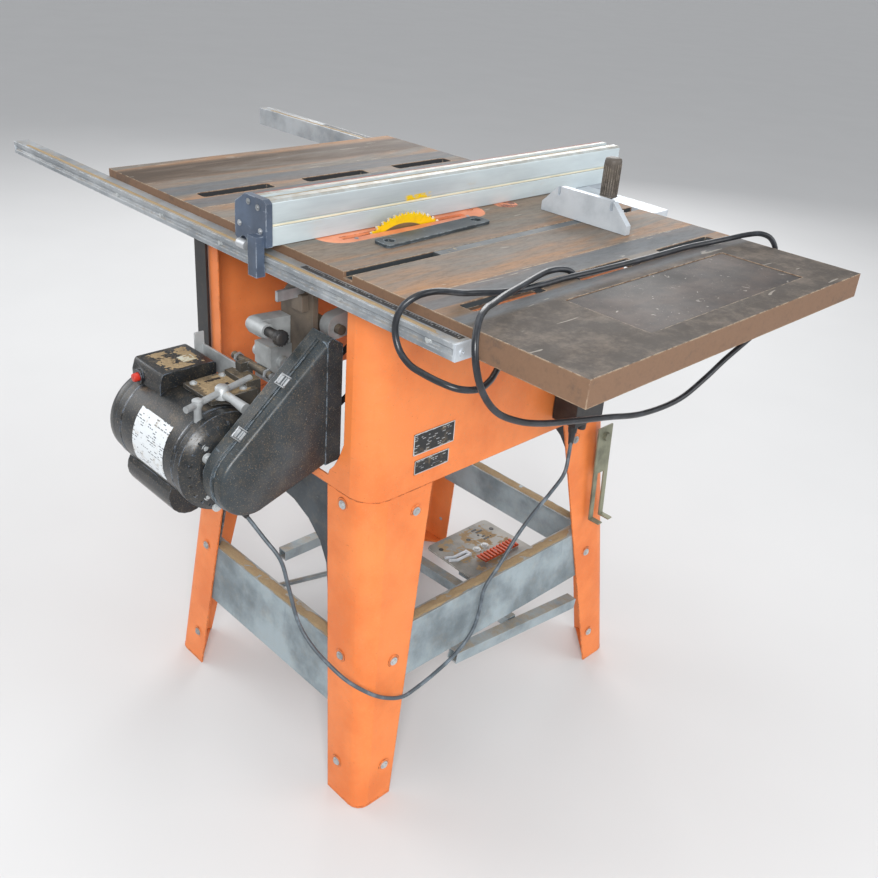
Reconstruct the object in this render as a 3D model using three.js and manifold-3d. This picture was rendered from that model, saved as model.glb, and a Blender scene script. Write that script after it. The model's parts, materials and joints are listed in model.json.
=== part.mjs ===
// Contractor's table saw on a splayed steel stand.
// Saw frame used while modelling: x = 0 in the blade's plane, y = 0 at the middle of the table's
// depth, z = 0 on the table top; +X to the operator's right, -Y towards the operator, +Z up.
// The last lines move everything so that z = 0 is the floor and x = y = 0 is the footprint's centre.
import * as THREE from 'three';
import { mergeVertices } from 'three/addons/utils/BufferGeometryUtils.js';
import Module from 'manifold-3d';

const wasm = await Module();
wasm.setup();

// ---------------------------------------------------------------- driving dimensions, mm
const GAP = 0.3;                 // running gap between neighbouring pieces
const TABLE_HEIGHT = 965;
const TABLE_DEPTH = 686;         // 27 in
const TABLE_WIDTH = 1130;        // main table and both wings
const MAIN_WIDTH = 508;          // 20 in
const EDGE = 38;                 // depth of the castings' rims
const SLOT = { x: 132, width: 19, depth: 9.5 };
const WING_SLOT = { inner: 308, outer: 338, length: 150, pitch: 225 };
const INSERT = { x0: -22, x1: 62, y0: -79, y1: 283, thick: 5 };
const REAR_RAIL = { x0: -377, x1: 910, y0: 343.3, y1: 375, top: -14, bottom: -38 };
const FRONT_RAIL = { x0: -377, x1: 1070, y0: -375, y1: -343.3, top: -24, bottom: -66 };
const CABINET = { x0: -180, x1: 291, y0: -297, y1: 330, top: -38.3, bottom: -375, sheet: 2.5, round: 45 };
const FOOT = { dx: 297, dy: 360, cx: 55.5, cy: 16.5 };
const LEG_SHEET = 3;
const BLADE = { y: 115, z: -102, r: 127, teeth: 60 };
const ARM_PIVOT = { y: 280, z: -130 };
const MOTOR = { y: 470, z: -322, r: 82, x0: 15, x1: 200 };
const GUARD = { x0: -78, x1: -28, seam: -53, wall: 3, round: 60 };
const FENCE = { x0: 20, x1: 94, y0: -480, y1: 366, top: 70 };
const MITER = { face: -172, x0: -233, x1: -47, height: 50 };
const SHIFT = [-252.5, 5.5, TABLE_HEIGHT];

// ---------------------------------------------------------------- small solid-modelling kit
const X = 'x', Y = 'y', Z = 'z';

function manifold(geometry) {
  const g = geometry.index ? geometry.clone() : geometry;
  g.deleteAttribute('normal');
  g.deleteAttribute('uv');
  const m = mergeVertices(g, 1e-4);
  const vertProperties = new Float32Array(m.attributes.position.array);
  const triVerts = new Uint32Array(m.index.array);
  let volume = 0;
  for (let i = 0; i < triVerts.length; i += 3) {
    const [a, b, c] = [0, 1, 2].map((k) => new THREE.Vector3().fromArray(vertProperties,
      3 * triVerts[i + k]));
    volume += a.dot(b.cross(c));
  }
  if (volume < 0) for (let i = 0; i < triVerts.length; i += 3) {
    [triVerts[i], triVerts[i + 1]] = [triVerts[i + 1], triVerts[i]];
  }
  return new wasm.Manifold(new wasm.Mesh({ numProp: 3, vertProperties, triVerts }));
}

function box(x0, x1, y0, y1, z0, z1) {
  const g = new THREE.BoxGeometry(x1 - x0, y1 - y0, z1 - z0);
  g.translate((x0 + x1) / 2, (y0 + y1) / 2, (z0 + z1) / 2);
  return manifold(g);
}

// A cylinder or cone along an axis from a to b; (u, v) is its centre in the other two directions.
function cyl(axis, u, v, a, b, r, r2 = r, segments = 20) {
  const g = new THREE.CylinderGeometry(r2, r, b - a, segments);
  g.rotateX(Math.PI / 2);
  g.translate(0, 0, (a + b) / 2);
  if (axis === X) { g.rotateY(Math.PI / 2); g.translate(0, u, v); }
  if (axis === Y) { g.rotateX(-Math.PI / 2); g.translate(u, 0, v); }
  if (axis === Z) g.translate(u, v, 0);
  return manifold(g);
}

// A rod between two points.
function rod(p, q, r, segments = 10) {
  const a = new THREE.Vector3(...p), b = new THREE.Vector3(...q);
  const g = new THREE.CylinderGeometry(r, r, a.distanceTo(b), segments);
  g.applyQuaternion(new THREE.Quaternion().setFromUnitVectors(
    new THREE.Vector3(0, 1, 0), b.clone().sub(a).normalize()));
  g.translate((a.x + b.x) / 2, (a.y + b.y) / 2, (a.z + b.z) / 2);
  return manifold(g);
}

// A polygon extruded from a to b. Its points are (y,z) along X, (x,z) along Y and (x,y) along Z.
function prism(axis, points, a, b, holes = []) {
  const shape = new THREE.Shape(points.map((p) => new THREE.Vector2(...p)));
  for (const h of holes) shape.holes.push(new THREE.Path(h.map((p) => new THREE.Vector2(...p))));
  const g = new THREE.ExtrudeGeometry(shape, { depth: b - a, bevelEnabled: false, steps: 1 });
  if (axis === X) { g.rotateX(Math.PI / 2); g.rotateZ(Math.PI / 2); g.translate(a, 0, 0); }
  if (axis === Y) { g.rotateX(Math.PI / 2); g.translate(0, b, 0); }
  if (axis === Z) g.translate(0, 0, a);
  return manifold(g);
}

// A closed polygon with each corner rounded by the radius given for it.
function rounded(points, radii, steps = 4) {
  const out = [];
  points.forEach((p, i) => {
    const r = Array.isArray(radii) ? radii[i] : radii;
    if (!r) { out.push(p); return; }
    const P = new THREE.Vector2(...p);
    const A = new THREE.Vector2(...points[(i + points.length - 1) % points.length]).sub(P);
    const B = new THREE.Vector2(...points[(i + 1) % points.length]).sub(P);
    const half = Math.acos(A.dot(B) / (A.length() * B.length())) / 2;
    const cut = r / Math.tan(half);
    const a = P.clone().addScaledVector(A.normalize(), cut);
    const b = P.clone().addScaledVector(B.normalize(), cut);
    const centre = P.clone().addScaledVector(A.add(B).normalize(), r / Math.sin(half));
    const t0 = Math.atan2(a.y - centre.y, a.x - centre.x);
    let t1 = Math.atan2(b.y - centre.y, b.x - centre.x);
    while (t1 - t0 > Math.PI) t1 -= 2 * Math.PI;
    while (t0 - t1 > Math.PI) t1 += 2 * Math.PI;
    for (let k = 0; k <= steps; k++) {
      const t = t0 + (t1 - t0) * k / steps;
      out.push([centre.x + r * Math.cos(t), centre.y + r * Math.sin(t)]);
    }
  });
  return out;
}

const circle = (u, v, r, n = 24) =>
  Array.from({ length: n }, (_, i) => [u + r * Math.cos(2 * Math.PI * i / n),
    v + r * Math.sin(2 * Math.PI * i / n)]);

// A solid through rings of equally many points, closed by a flat cap at each end.
function loft(rings) {
  const n = rings[0].length, position = rings.flat(2), index = [];
  for (let s = 0; s + 1 < rings.length; s++) for (let i = 0; i < n; i++) {
    const a = s * n + i, b = s * n + (i + 1) % n;
    index.push(a, b, b + n, a, b + n, a + n);
  }
  const flat = rings[0].map((p) => new THREE.Vector2(p[0], p[1])), last = (rings.length - 1) * n;
  const anticlockwise = THREE.ShapeUtils.area(flat) > 0;
  for (const [i, j, k] of THREE.ShapeUtils.triangulateShape(flat, [])) {
    if (anticlockwise) index.push(i, k, j, i + last, j + last, k + last);
    else index.push(i, j, k, i + last, k + last, j + last);
  }
  const g = new THREE.BufferGeometry();
  g.setAttribute('position', new THREE.Float32BufferAttribute(position, 3));
  g.setIndex(index);
  return manifold(g);
}

const sum = (...parts) => parts.reduce((a, b) => a.add(b));
const cut = (body, ...tools) => tools.reduce((a, b) => a.subtract(b), body);

// ---------------------------------------------------------------- materials and the part
const PAINT = {
  cast_top: [0x8a7459, 0.35, 0.7], cast_dark: [0x4a4744, 0.4, 0.7], orange: [0xf07f36, 0.1, 0.45],
  charcoal: [0x3b4148, 0.2, 0.65], black: [0x15161a, 0.1, 0.45], steel: [0xb9bcc0, 0.9, 0.35],
  aluminium: [0xbfccd3, 0.85, 0.35], slate: [0x5d6873, 0.1, 0.6], zinc: [0xa9adb0, 0.8, 0.45],
  yellow: [0xf2d21f, 0.2, 0.4], red: [0xd8331f, 0.0, 0.4], salmon: [0xf08a5d, 0.1, 0.5],
  rubber: [0x0d0d0f, 0.0, 0.8], label: [0xe9e9e6, 0.0, 0.6], bakelite: [0x5b534b, 0.1, 0.5],
};
const part = new THREE.Group();
part.name = 'table_saw';

function add(name, paint, body) {
  const mesh = body.getMesh();
  const g = new THREE.BufferGeometry();
  g.setAttribute('position', new THREE.Float32BufferAttribute(mesh.vertProperties, 3));
  g.setIndex(Array.from(mesh.triVerts));
  addGeometry(name, paint, g);
}

function addGeometry(name, paint, geometry) {
  geometry.translate(...SHIFT);
  geometry.computeVertexNormals();
  const [color, metalness, roughness] = PAINT[paint];
  const node = new THREE.Mesh(geometry, new THREE.MeshStandardMaterial({ color, metalness, roughness }));
  node.name = name;
  part.add(node);
}

// ---------------------------------------------------------------- table, wings and insert
const half = TABLE_DEPTH / 2, mainHalf = MAIN_WIDTH / 2 - GAP / 2, outer = TABLE_WIDTH / 2;
const insertHole = (grow, z0, z1) => {
  const r = (INSERT.x1 - INSERT.x0) / 2 + grow - 0.01;
  return prism(Z, rounded([[INSERT.x0 - grow, INSERT.y0 - grow], [INSERT.x1 + grow, INSERT.y0 - grow],
    [INSERT.x1 + grow, INSERT.y1 + grow], [INSERT.x0 - grow, INSERT.y1 + grow]], r, 6), z0, z1);
};
let table = sum(box(-mainHalf, mainHalf, -half, half, -10, 0),
  box(-mainHalf, mainHalf, -half, 12 - half, -EDGE, -5), box(-mainHalf, mainHalf, half - 12, half, -EDGE,
    -5));
for (const side of [-1, 1]) {
  table = table.add(box(side * SLOT.x - 17, side * SLOT.x + 17, -half + 5, half - 5, -16, -5));
  table = table.add(box(side * 246 - 7.8, side * 246 + 7.8, -half + 5, half - 5, -EDGE, -5));
}
for (const side of [-1, 1]) {
  table = cut(table, box(side * SLOT.x - SLOT.width / 2, side * SLOT.x + SLOT.width / 2,
    -half - 1, half + 1, -SLOT.depth, 1));
}
table = cut(table, insertHole(GAP, -INSERT.thick - GAP, 1), insertHole(-7, -EDGE, 1));
add('main_table', 'cast_top', table);

const bladeSlot = box(-4, 9, -24, 247, -10, 2);
add('throat_insert', 'salmon', cut(insertHole(0, -INSERT.thick, -0.1), bladeSlot,
  cyl(Z, 20, -56, -10, 1, 7)));

for (const side of [-1, 1]) {
  const lo = Math.min(side * mainHalf + side * GAP, side * outer),
    hi = Math.max(side * mainHalf + side * GAP, side * outer);
  let wing = sum(box(lo, hi, -half, half, -10, 0), box(lo, hi, -half, 11 - half, -EDGE, -5),
    box(lo, hi, half - 11, half, -EDGE, -5), box(lo, lo + 11, -half, half, -EDGE, -5),
    box(hi - 11, hi, -half, half, -EDGE, -5));
  for (const y of [-112, 112]) wing = wing.add(box(lo + 5, hi - 5, y - 5, y + 5, -26, -5));
  for (const k of [-1, 0, 1]) {
    const a = side > 0 ? WING_SLOT.inner : -WING_SLOT.outer,
      b = side > 0 ? WING_SLOT.outer : -WING_SLOT.inner;
    wing = cut(wing, prism(Z, rounded([[a, k * WING_SLOT.pitch - 75], [b, k * WING_SLOT.pitch - 75],
      [b, k * WING_SLOT.pitch + 75], [a, k * WING_SLOT.pitch + 75]], 6, 2), -12, 2));
  }
  if (side < 0) wing = cut(wing, box(-520, -378, -240, 160, -3, 1));
  add(side < 0 ? 'wing_left' : 'wing_right', 'cast_top', wing);
}
add('wing_inset_panel', 'cast_dark', box(-519.6, -378.4, -239.6, 159.6, -2.7, -1));

// ---------------------------------------------------------------- fence rails and their caps
function rail(name, r, outwards) {
  const inner = outwards > 0 ? r.y0 : r.y1, far = outwards > 0 ? r.y1 : r.y0, o = outwards;
  const h = r.top - r.bottom;
  const profile = [[inner, r.top], [far, r.top], [far, r.top - 0.3 * h], [far - 4 * o, r.top - 0.42 * h],
    [far - 4 * o, r.top - 0.58 * h], [far, r.top - 0.7 * h], [far, r.bottom], [inner + 10 * o, r.bottom],
    [inner + 10 * o, r.top - 5], [inner + 3 * o, r.top - 5], [inner + 3 * o, r.bottom], [inner, r.bottom]];
  add(name, 'charcoal', prism(X, outwards > 0 ? profile : [...profile].reverse(), r.x0, r.x1));
  const y0 = Math.min(inner, far), y1 = Math.max(inner, far), m = (y0 + y1) / 2 + 4 * o,
    v = (r.top + r.bottom) / 2;
  add(`${name}_cap`, 'aluminium', cut(sum(box(r.x0 - 5, r.x0 - GAP, y0, y1, r.bottom, r.top),
    cyl(X, m, v, r.x0 - 7, r.x0 - 1, 5, 5, 12)), cyl(X, m, v, r.x0 - 8, r.x0 - 5.5, 2, 2, 6)));
}
rail('rear_rail', REAR_RAIL, 1);
rail('front_rail', FRONT_RAIL, -1);

// ---------------------------------------------------------------- cabinet
const C = CABINET;
function cabinetOutline(inset) {
  const r = C.round - inset, x0 = C.x0 + inset, x1 = C.x1 - inset, y0 = C.y0 + inset, y1 = C.y1 - inset;
  return rounded([[226, y1], [x1, y1], [x1, y0], [x0, y0], [x0, y1], [-118, y1]], [0, r, r, r, r, 0], 4);
}
let cabinet = prism(Z, [...cabinetOutline(0), ...cabinetOutline(C.sheet).reverse()], C.bottom, C.top);
cabinet = sum(cabinet,
  prism(Y, [[-118.5, C.bottom], [226.5, C.bottom], [226.5, -357], [-80.5, -357], [-84, -347], [-95, -335],
    [-108, -312],
    [-118.5, -285]], C.y1 - C.sheet, C.y1),
  box(-150, 250, C.y0 + 1, C.y0 + 20, C.top - 3, C.top), box(C.x0 + 1, C.x0 + 20, -250, 280, C.top - 3,
    C.top),
  box(C.x1 - 20, C.x1 - 1, -250, 280, C.top - 3, C.top));
cabinet = cut(cabinet, cyl(Y, 60, -190, C.y0 - 5, C.y0 + 5, 11), cyl(X, 20, -200, C.x1 - 5, C.x1 + 5, 11));
add('cabinet', 'orange', cabinet);
add('rear_corner_strip', 'black', box(256, 290, C.y1 + GAP, C.y1 + 5, C.bottom + 10, C.top - 3));

// ---------------------------------------------------------------- stand
// One leg: a folded angle with a rounded outer corner, tapering and splaying outwards.
function legRing(sx, sy, t, z) {
  const cx = (sx > 0 ? C.x1 : C.x0) + t * (FOOT.cx + sx * FOOT.dx - (sx > 0 ? C.x1 : C.x0));
  const cy = (sy > 0 ? C.y1 : C.y0) + t * (FOOT.cy + sy * FOOT.dy - (sy > 0 ? C.y1 : C.y0));
  const a = 142 - 66 * t, b = 100 - 16 * t, r = C.round - 20 * t, w = LEG_SHEET;
  const arc = (rr) => [0, 1, 2, 3, 4].map((k) => {
    const q = Math.PI / 2 * k / 4;
    return [cx - sx * (r - rr * Math.cos(q)), cy - sy * (r - rr * Math.sin(q))];
  });
  const outline = [[cx, cy - sy * a], ...arc(r), [cx - sx * b, cy]];
  const inside = [[cx - sx * w, cy - sy * a], ...arc(r - w), [cx - sx * b, cy - sy * w]];
  return { outline, ring: [...outline, ...inside.reverse()].map(([x, y]) => [x, y, z]) };
}
for (const [name, sx, sy] of [['rear_left', -1, 1], ['rear_right', 1, 1], ['front_left', -1, -1],
  ['front_right', 1, -1]]) {
  const top = legRing(sx, sy, 0, C.bottom - GAP), foot = legRing(sx, sy, 1, -TABLE_HEIGHT);
  const pad = prism(Z, foot.outline, -TABLE_HEIGHT, -TABLE_HEIGHT + 4);
  add(`leg_${name}`, 'orange', sum(loft([top.ring, foot.ring]), pad));
}

// Arch panels between the legs, just inside their front and rear faces.
const legInner = (sx, z, sheet) => {
  const t = (C.bottom - z) / (C.bottom + TABLE_HEIGHT);
  const base = sx > 0 ? C.x1 : C.x0;
  return base + t * (FOOT.cx + sx * FOOT.dx - base) - sx * sheet;
};
const legFace = (sy, z) => {
  const t = (C.bottom - z) / (C.bottom + TABLE_HEIGHT), base = sy > 0 ? C.y1 : C.y0;
  return base + t * (FOOT.cy + sy * FOOT.dy - base);
};
for (const [name, sy] of [['front', -1], ['rear', 1]]) {
  const zTop = C.bottom - 3, zLow = -658;
  const L = (z) => legInner(-1, z, LEG_SHEET + 46), R = (z) => legInner(1, z, LEG_SHEET + 46);
  const points = [[L(zTop), zTop], [R(zTop), zTop], [R(zLow), zLow], [R(zLow) - 44, zLow]];
  for (let k = 0; k <= 10; k++) {
    const a = Math.PI * k / 10;
    points.push([FOOT.cx + (R(-560) - 52 - FOOT.cx) * Math.cos(a), -560 + 118 * Math.sin(a)]);
  }
  points.push([L(zLow) + 44, zLow], [L(zLow), zLow]);
  let arch = prism(Y, points, -1.25, 1.25);
  const lean = Math.atan2(legFace(sy, zLow) - legFace(sy, zTop), zTop - zLow);
  arch = arch.translate([0, 0, -zTop]).rotate([lean * 180 / Math.PI, 0, 0])
    .translate([0, legFace(sy, zTop) - sy * (LEG_SHEET + 2.2), zTop]);
  add(`arch_${name}`, 'charcoal', arch);
}

// Lower stretchers: a deep web with an inward flange on top.
function stretcherX(name, sy, top, bottom) {
  const y = legFace(sy, bottom) - sy * (LEG_SHEET + GAP + 1), reach = 27;
  const yTop = legFace(sy, top) - sy * (LEG_SHEET + GAP + 0.4);
  const x0 = legInner(-1, bottom, -1) + 62, x1 = legInner(1, bottom, -1) - 62;
  const w = sy * 2.5;
  const profile = [[yTop, top], [y, bottom], [y - w, bottom], [yTop - w, top - 2.5],
    [yTop - sy * reach, top - 2.5],
    [yTop - sy * reach, top]];
  add(name, 'charcoal', prism(X, profile, x0, x1));
}
function stretcherY(name, sx, top, bottom) {
  const x = legInner(sx, bottom, LEG_SHEET + GAP + 0.4), xTop = legInner(sx, top, LEG_SHEET + GAP + 0.4);
  const y0 = legFace(-1, bottom) + 62, y1 = legFace(1, bottom) - 62, w = sx * 2.5, reach = 27;
  const profile = [[xTop, top], [x, bottom], [x - w, bottom], [xTop - w, top - 2.5],
    [xTop - sx * reach, top - 2.5],
    [xTop - sx * reach, top]];
  add(name, 'charcoal', prism(Y, profile, y0, y1));
}
stretcherY('stretcher_left', -1, -631, -733);
stretcherX('stretcher_rear', 1, -664, -790);
stretcherX('stretcher_front', -1, -664, -764);
add('stretcher_right', 'charcoal', sum(rod([318, 285, -872], [250, 30, -874], 6, 8),
  rod([250, 30, -874], [322, -235, -873], 6, 8)));

// ---------------------------------------------------------------- lift base
const tube = (p, q, h) => {
  const a = new THREE.Vector3(...p), b = new THREE.Vector3(...q), d = b.clone().sub(a).normalize();
  const make = (s, extra) => {
    const g = new THREE.BoxGeometry(s, s, a.distanceTo(b) + extra);
    g.applyQuaternion(new THREE.Quaternion().setFromUnitVectors(new THREE.Vector3(0, 0, 1), d));
    g.translate((a.x + b.x) / 2, (a.y + b.y) / 2, (a.z + b.z) / 2);
    return manifold(g);
  };
  return h ? cut(make(h[0], 0), make(h[1], 2)) : make(22, 0);
};
add('base_tube_left', 'charcoal', tube([-203, 120, -768], [-212, -225, -800], [24, 19]));
add('base_cross_tube', 'charcoal', cut(sum(tube([-190.5, -60, -785], [280, -60, -800], [22, 17]),
  box(-125, -15, -114, -86, -783, -778), box(-125, -60, -90, -62, -783, -778),
    box(-125, -118, -114, -86, -781, -750),
  box(-22, -15, -114, -86, -781, -750)), cyl(X, -100, -762, -130, 0, 8.3, 8.3, 16)));
add('base_tube_right', 'charcoal', tube([294, 150, -800], [294, -230, -800], [24, 19]));
add('lift_pedal', 'steel', sum(prism(Z, rounded([[-150, -190], [16, -186], [16, -12], [-146, -8]], 10, 2),
  -702, -698),
  box(-75, -65, -110, -90, -773, -700), cyl(X, -100, -762, -110, -30, 8, 8, 12),
    box(-100, -78, -165, -70, -698.5, -693)));

// ---------------------------------------------------------------- tilting mechanism under the table
{
  const y0 = 296, y1 = 310;
  const points = [[-72, -16.5]];
  for (let k = 0; k <= 10; k++) { const a = Math.PI * (1.08 + 0.84 * k / 10); points.push([72 * Math.cos(a),
    72 * Math.sin(a)]); }
  points.push([72, -16.5]);
  add('trunnion', 'cast_dark', sum(prism(Y, points, y0, y1), box(-84, 84, y0, y1, -20, -16.3)));
}
const hanger = [[-24, -24], [-6, -24], [26, -52], [60, -92], [60, -188], [-24, -188]];
add('cradle', 'cast_dark', sum(prism(Y, rounded(hanger, 6, 2), -197.5, -187),
  prism(Y, rounded(hanger, 6, 2), 310.5, 320),
  box(44, 60, -188, 311, -186, -150), cyl(X, ARM_PIVOT.y, ARM_PIVOT.z, -46, 46, 8, 8, 16),
    box(42, 60, 266, 294, -152, -110)));
add('arbor_arm', 'zinc', cut(sum(
  prism(X, rounded([[ARM_PIVOT.y + 20, ARM_PIVOT.z - 20], [ARM_PIVOT.y + 20, ARM_PIVOT.z + 20],
    [BLADE.y - 22, BLADE.z + 22],
    [BLADE.y - 22, BLADE.z - 22]], 18, 4), -36, -14), cyl(X, BLADE.y, BLADE.z, -42, -12.5, 20, 20, 20)),
  cyl(X, ARM_PIVOT.y, ARM_PIVOT.z, -60, 60, 8.05, 8.05, 32), cyl(X, BLADE.y, BLADE.z, -60, 0, 8.3, 8.3,
    24)));
const toothed = [];
for (let k = 0; k < BLADE.teeth; k++) {
  const a = 2 * Math.PI * k / BLADE.teeth, at = (f, r) => [BLADE.y + r * Math.cos(a + f),
    BLADE.z + r * Math.sin(a + f)];
  toothed.push(at(0, BLADE.r), at(0.04, BLADE.r - 1), at(0.065, BLADE.r - 5),
    at(0.095, BLADE.r - 5));
}
add('blade', 'yellow', prism(X, toothed, -1.5, 1.5, [circle(BLADE.y, BLADE.z, 8.3, 20)]));
add('arbor_nut_and_flange', 'steel', cut(sum(cyl(X, BLADE.y, BLADE.z, 1.8, 8, 24, 24, 24),
  cyl(X, BLADE.y, BLADE.z, 7, 15, 13, 13, 6)),
  cyl(X, BLADE.y, BLADE.z, 0, 20, 8.3, 8.3, 20)));
// Each shaft is one piece with its pulley, and the arbor has the blade's fixed flange too.
const pulley = (y, z, r) => sum(cyl(X, y, z, -60, -54.5, r, r - 4, 24),
  cyl(X, y, z, -55, -52, r - 4, r - 4, 24),
  cyl(X, y, z, -52.5, -47, r - 4, r, 24));
add('arbor', 'steel', sum(pulley(BLADE.y, BLADE.z, 34), cyl(X, BLADE.y, BLADE.z, -64, 16, 8, 8, 20),
  cyl(X, BLADE.y, BLADE.z, -9, -1.8, 24, 24, 24)));
add('motor_pulley', 'steel', sum(pulley(MOTOR.y, MOTOR.z, 34),
  cyl(X, MOTOR.y, MOTOR.z, -64, -7, 8, 8, 16)));

// Belt: a closed loop round both pulleys.
{
  const lean = Math.atan2(MOTOR.z - BLADE.z, MOTOR.y - BLADE.y);
  const halfTurn = (centre, start, r) => Array.from({ length: 11 }, (_, k) => {
    const a = start + Math.PI * k / 10;
    return [centre.y + r * Math.cos(a), centre.z + r * Math.sin(a)];
  });
  const loop = (r) => [...halfTurn(BLADE, lean + Math.PI / 2, r), ...halfTurn(MOTOR, lean - Math.PI / 2, r)];
  add('drive_belt', 'rubber', prism(X, loop(39.5), -58, -49, [loop(34.5)]));
}

// ---------------------------------------------------------------- motor and its mount
add('motor_body', 'black', sum(cyl(X, MOTOR.y, MOTOR.z, MOTOR.x0, MOTOR.x1, MOTOR.r, MOTOR.r, 32),
  cyl(X, MOTOR.y, MOTOR.z, MOTOR.x1 - 1, 222, MOTOR.r - 1.5, MOTOR.r - 1.5, 32),
  cyl(X, MOTOR.y, MOTOR.z, 221, 237, MOTOR.r - 2, 62, 32)));
add('motor_bell_front', 'black', cut(sum(cyl(X, MOTOR.y, MOTOR.z, -6, MOTOR.x0 - GAP, MOTOR.r + 2,
  MOTOR.r + 2, 32),
  cyl(X, MOTOR.y, MOTOR.z, -20, -5, 58, 78, 32)), cyl(X, MOTOR.y, MOTOR.z, -30, -5, 9, 9, 20)));
const barrel = cyl(X, MOTOR.y, MOTOR.z, -40, 260, MOTOR.r + 0.6, MOTOR.r + 0.6, 48);
add('motor_junction_box', 'black', cut(sum(prism(X, rounded([[402, -213], [500, -213], [506, -232],
  [506, -272], [402, -272]],
  [6, 6, 6, 0, 0], 2), 126, 214), prism(X, [[396, -258], [512, -258], [512, -262], [396, -262]], 121, 219),
  cyl(Y, 190, -238, 503, 510, 13, 13, 20)), barrel, cyl(Y, 190, -238, 502, 520, 8.3, 8.3, 20)));
add('reset_button', 'red', cyl(Y, 190, -238, 506.4, 519, 7.5, 6.5, 16));
add('capacitor_cover', 'black', cut(sum(cyl(X, 500, -398, 62, 196, 38, 38, 20),
  prism(X, [[455, -390], [525, -370], [520, -420], [470, -430]], 62, 196)), barrel));
add('motor_cradle', 'zinc', cut(sum(box(34, 118, 384, 470, -262, -232), box(44, 106, 372, 400, -262, -222),
  rod([22, 366, -212], [128, 366, -212], 6.5, 12), box(80, 94, 362, 386, -232, -206)), barrel));
add('rear_arm', 'zinc', cut(sum(box(30, 74, 320.4, 362, -230, -168), cyl(X, 341, -196, 20, 96, 11, 11, 14),
  box(34, 60, 320.4, 336, -175, -130), prism(X, rounded([[320.4, -162], [320.4, -122], [384, -118],
    [384, -146]],
    [0, 0, 12, 12], 3), 34, 62), cyl(X, 374, -132, 20, 64, 12, 12, 16)),
      cyl(X, 366, -212, 0, 140, 8, 8, 16)));
add('arm_lock_knob', 'black', sum(cyl(X, 374, -132, -12, 19.7, 11, 11, 12),
  cyl(X, 374, -132, -20, -11, 13, 13, 12)));
add('splitter_bar', 'steel', sum(box(-3, 3, 320.5, 372, -78, -61), box(-14, 14, 320.5, 334, -100, -73)));

// ---------------------------------------------------------------- belt guard
const G = GUARD;
const guardOutline = (inset) => {
  const r = G.round - inset, n = 8, p = [[303 + (inset ? -2 : 0), -338 + inset],
    [303 + (inset ? -2 : 0), -136 - inset * 0.6]];
  p.push([324, -121 - inset]);
  for (let k = 0; k <= n; k++) {
    const a = THREE.MathUtils.degToRad(52 - 152 * k / n);
    p.push([MOTOR.y + r * Math.cos(a), MOTOR.z + r * Math.sin(a)]);
  }
  p.push([332, -341 + inset]);
  return p;
};
function guardHalf(a, b, face) {
  const shell = prism(X, guardOutline(0), a, b);
  return cut(shell, prism(X, guardOutline(G.wall), face === 'left' ? a + G.wall : a - 1,
    face === 'left' ? b + 1 : b - G.wall));
}
const mouth = box(-100, 0, 290, 307, -341, -141);
// The lift-off cover ends just outside the cabinet: the fixed half carries the full-width mouth.
const MOUTH_END = 333;
const front = box(-100, 0, 280, MOUTH_END, -400, -100);
add('guard_cover', 'black', cut(guardHalf(G.x0, G.seam - GAP, 'left'),
  box(-100, 0, 280, MOUTH_END + GAP, -400, -100)));
add('guard_back', 'black', cut(guardHalf(G.seam, G.x1, 'right').add(cut(
  prism(X, guardOutline(0), G.x0, G.x1).intersect(front), prism(X, guardOutline(G.wall), G.x0 + G.wall,
    G.x1 - G.wall))),
  mouth.subtract(box(G.x1 - 3, 0, 280, 310, -400, -100)).subtract(box(-100, G.x0 + 3, 280, 310, -400,
    -100)),
  cyl(X, MOTOR.y, MOTOR.z, -40, -20, 12, 12, 20)));

// ---------------------------------------------------------------- handwheels
function wheel(name, axis, u, v, a, sign) {
  const at = (d0, d1) => [Math.min(a + sign * d0, a + sign * d1), Math.max(a + sign * d0, a + sign * d1)];
  const pts = (f, r) => (axis === Y ? [u + r * Math.cos(f), v + r * Math.sin(f)] : [u + r * Math.cos(f),
    v + r * Math.sin(f)]);
  let w = sum(cyl(axis, u, v, ...at(24, 38), 78, 78, 32).subtract(cyl(axis, u, v, ...at(20, 42), 66, 66,
    32)),
    cyl(axis, u, v, ...at(-8, 40), 9, 9, 16), cyl(axis, u, v, ...at(12, 36), 18, 18, 16));
  for (const k of [0, 1, 2]) {
    const f = Math.PI / 2 + 2 * Math.PI * k / 3, p = pts(f, 12), q = pts(f, 70), m = a + sign * 31;
    w = w.add(axis === Y ? rod([p[0], m, p[1]], [q[0], m, q[1]], 6, 8) : rod([m, p[0], p[1]],
      [m, q[0], q[1]], 6, 8));
  }
  const k = pts(-Math.PI / 6, 68);
  add(name, 'black', w.add(cyl(axis, k[0], k[1], ...at(30, 78), 9, 12, 12)));
}
wheel('height_handwheel', Y, 60, -190, C.y0, -1);
wheel('tilt_handwheel', X, 20, -200, C.x1, 1);

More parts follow.
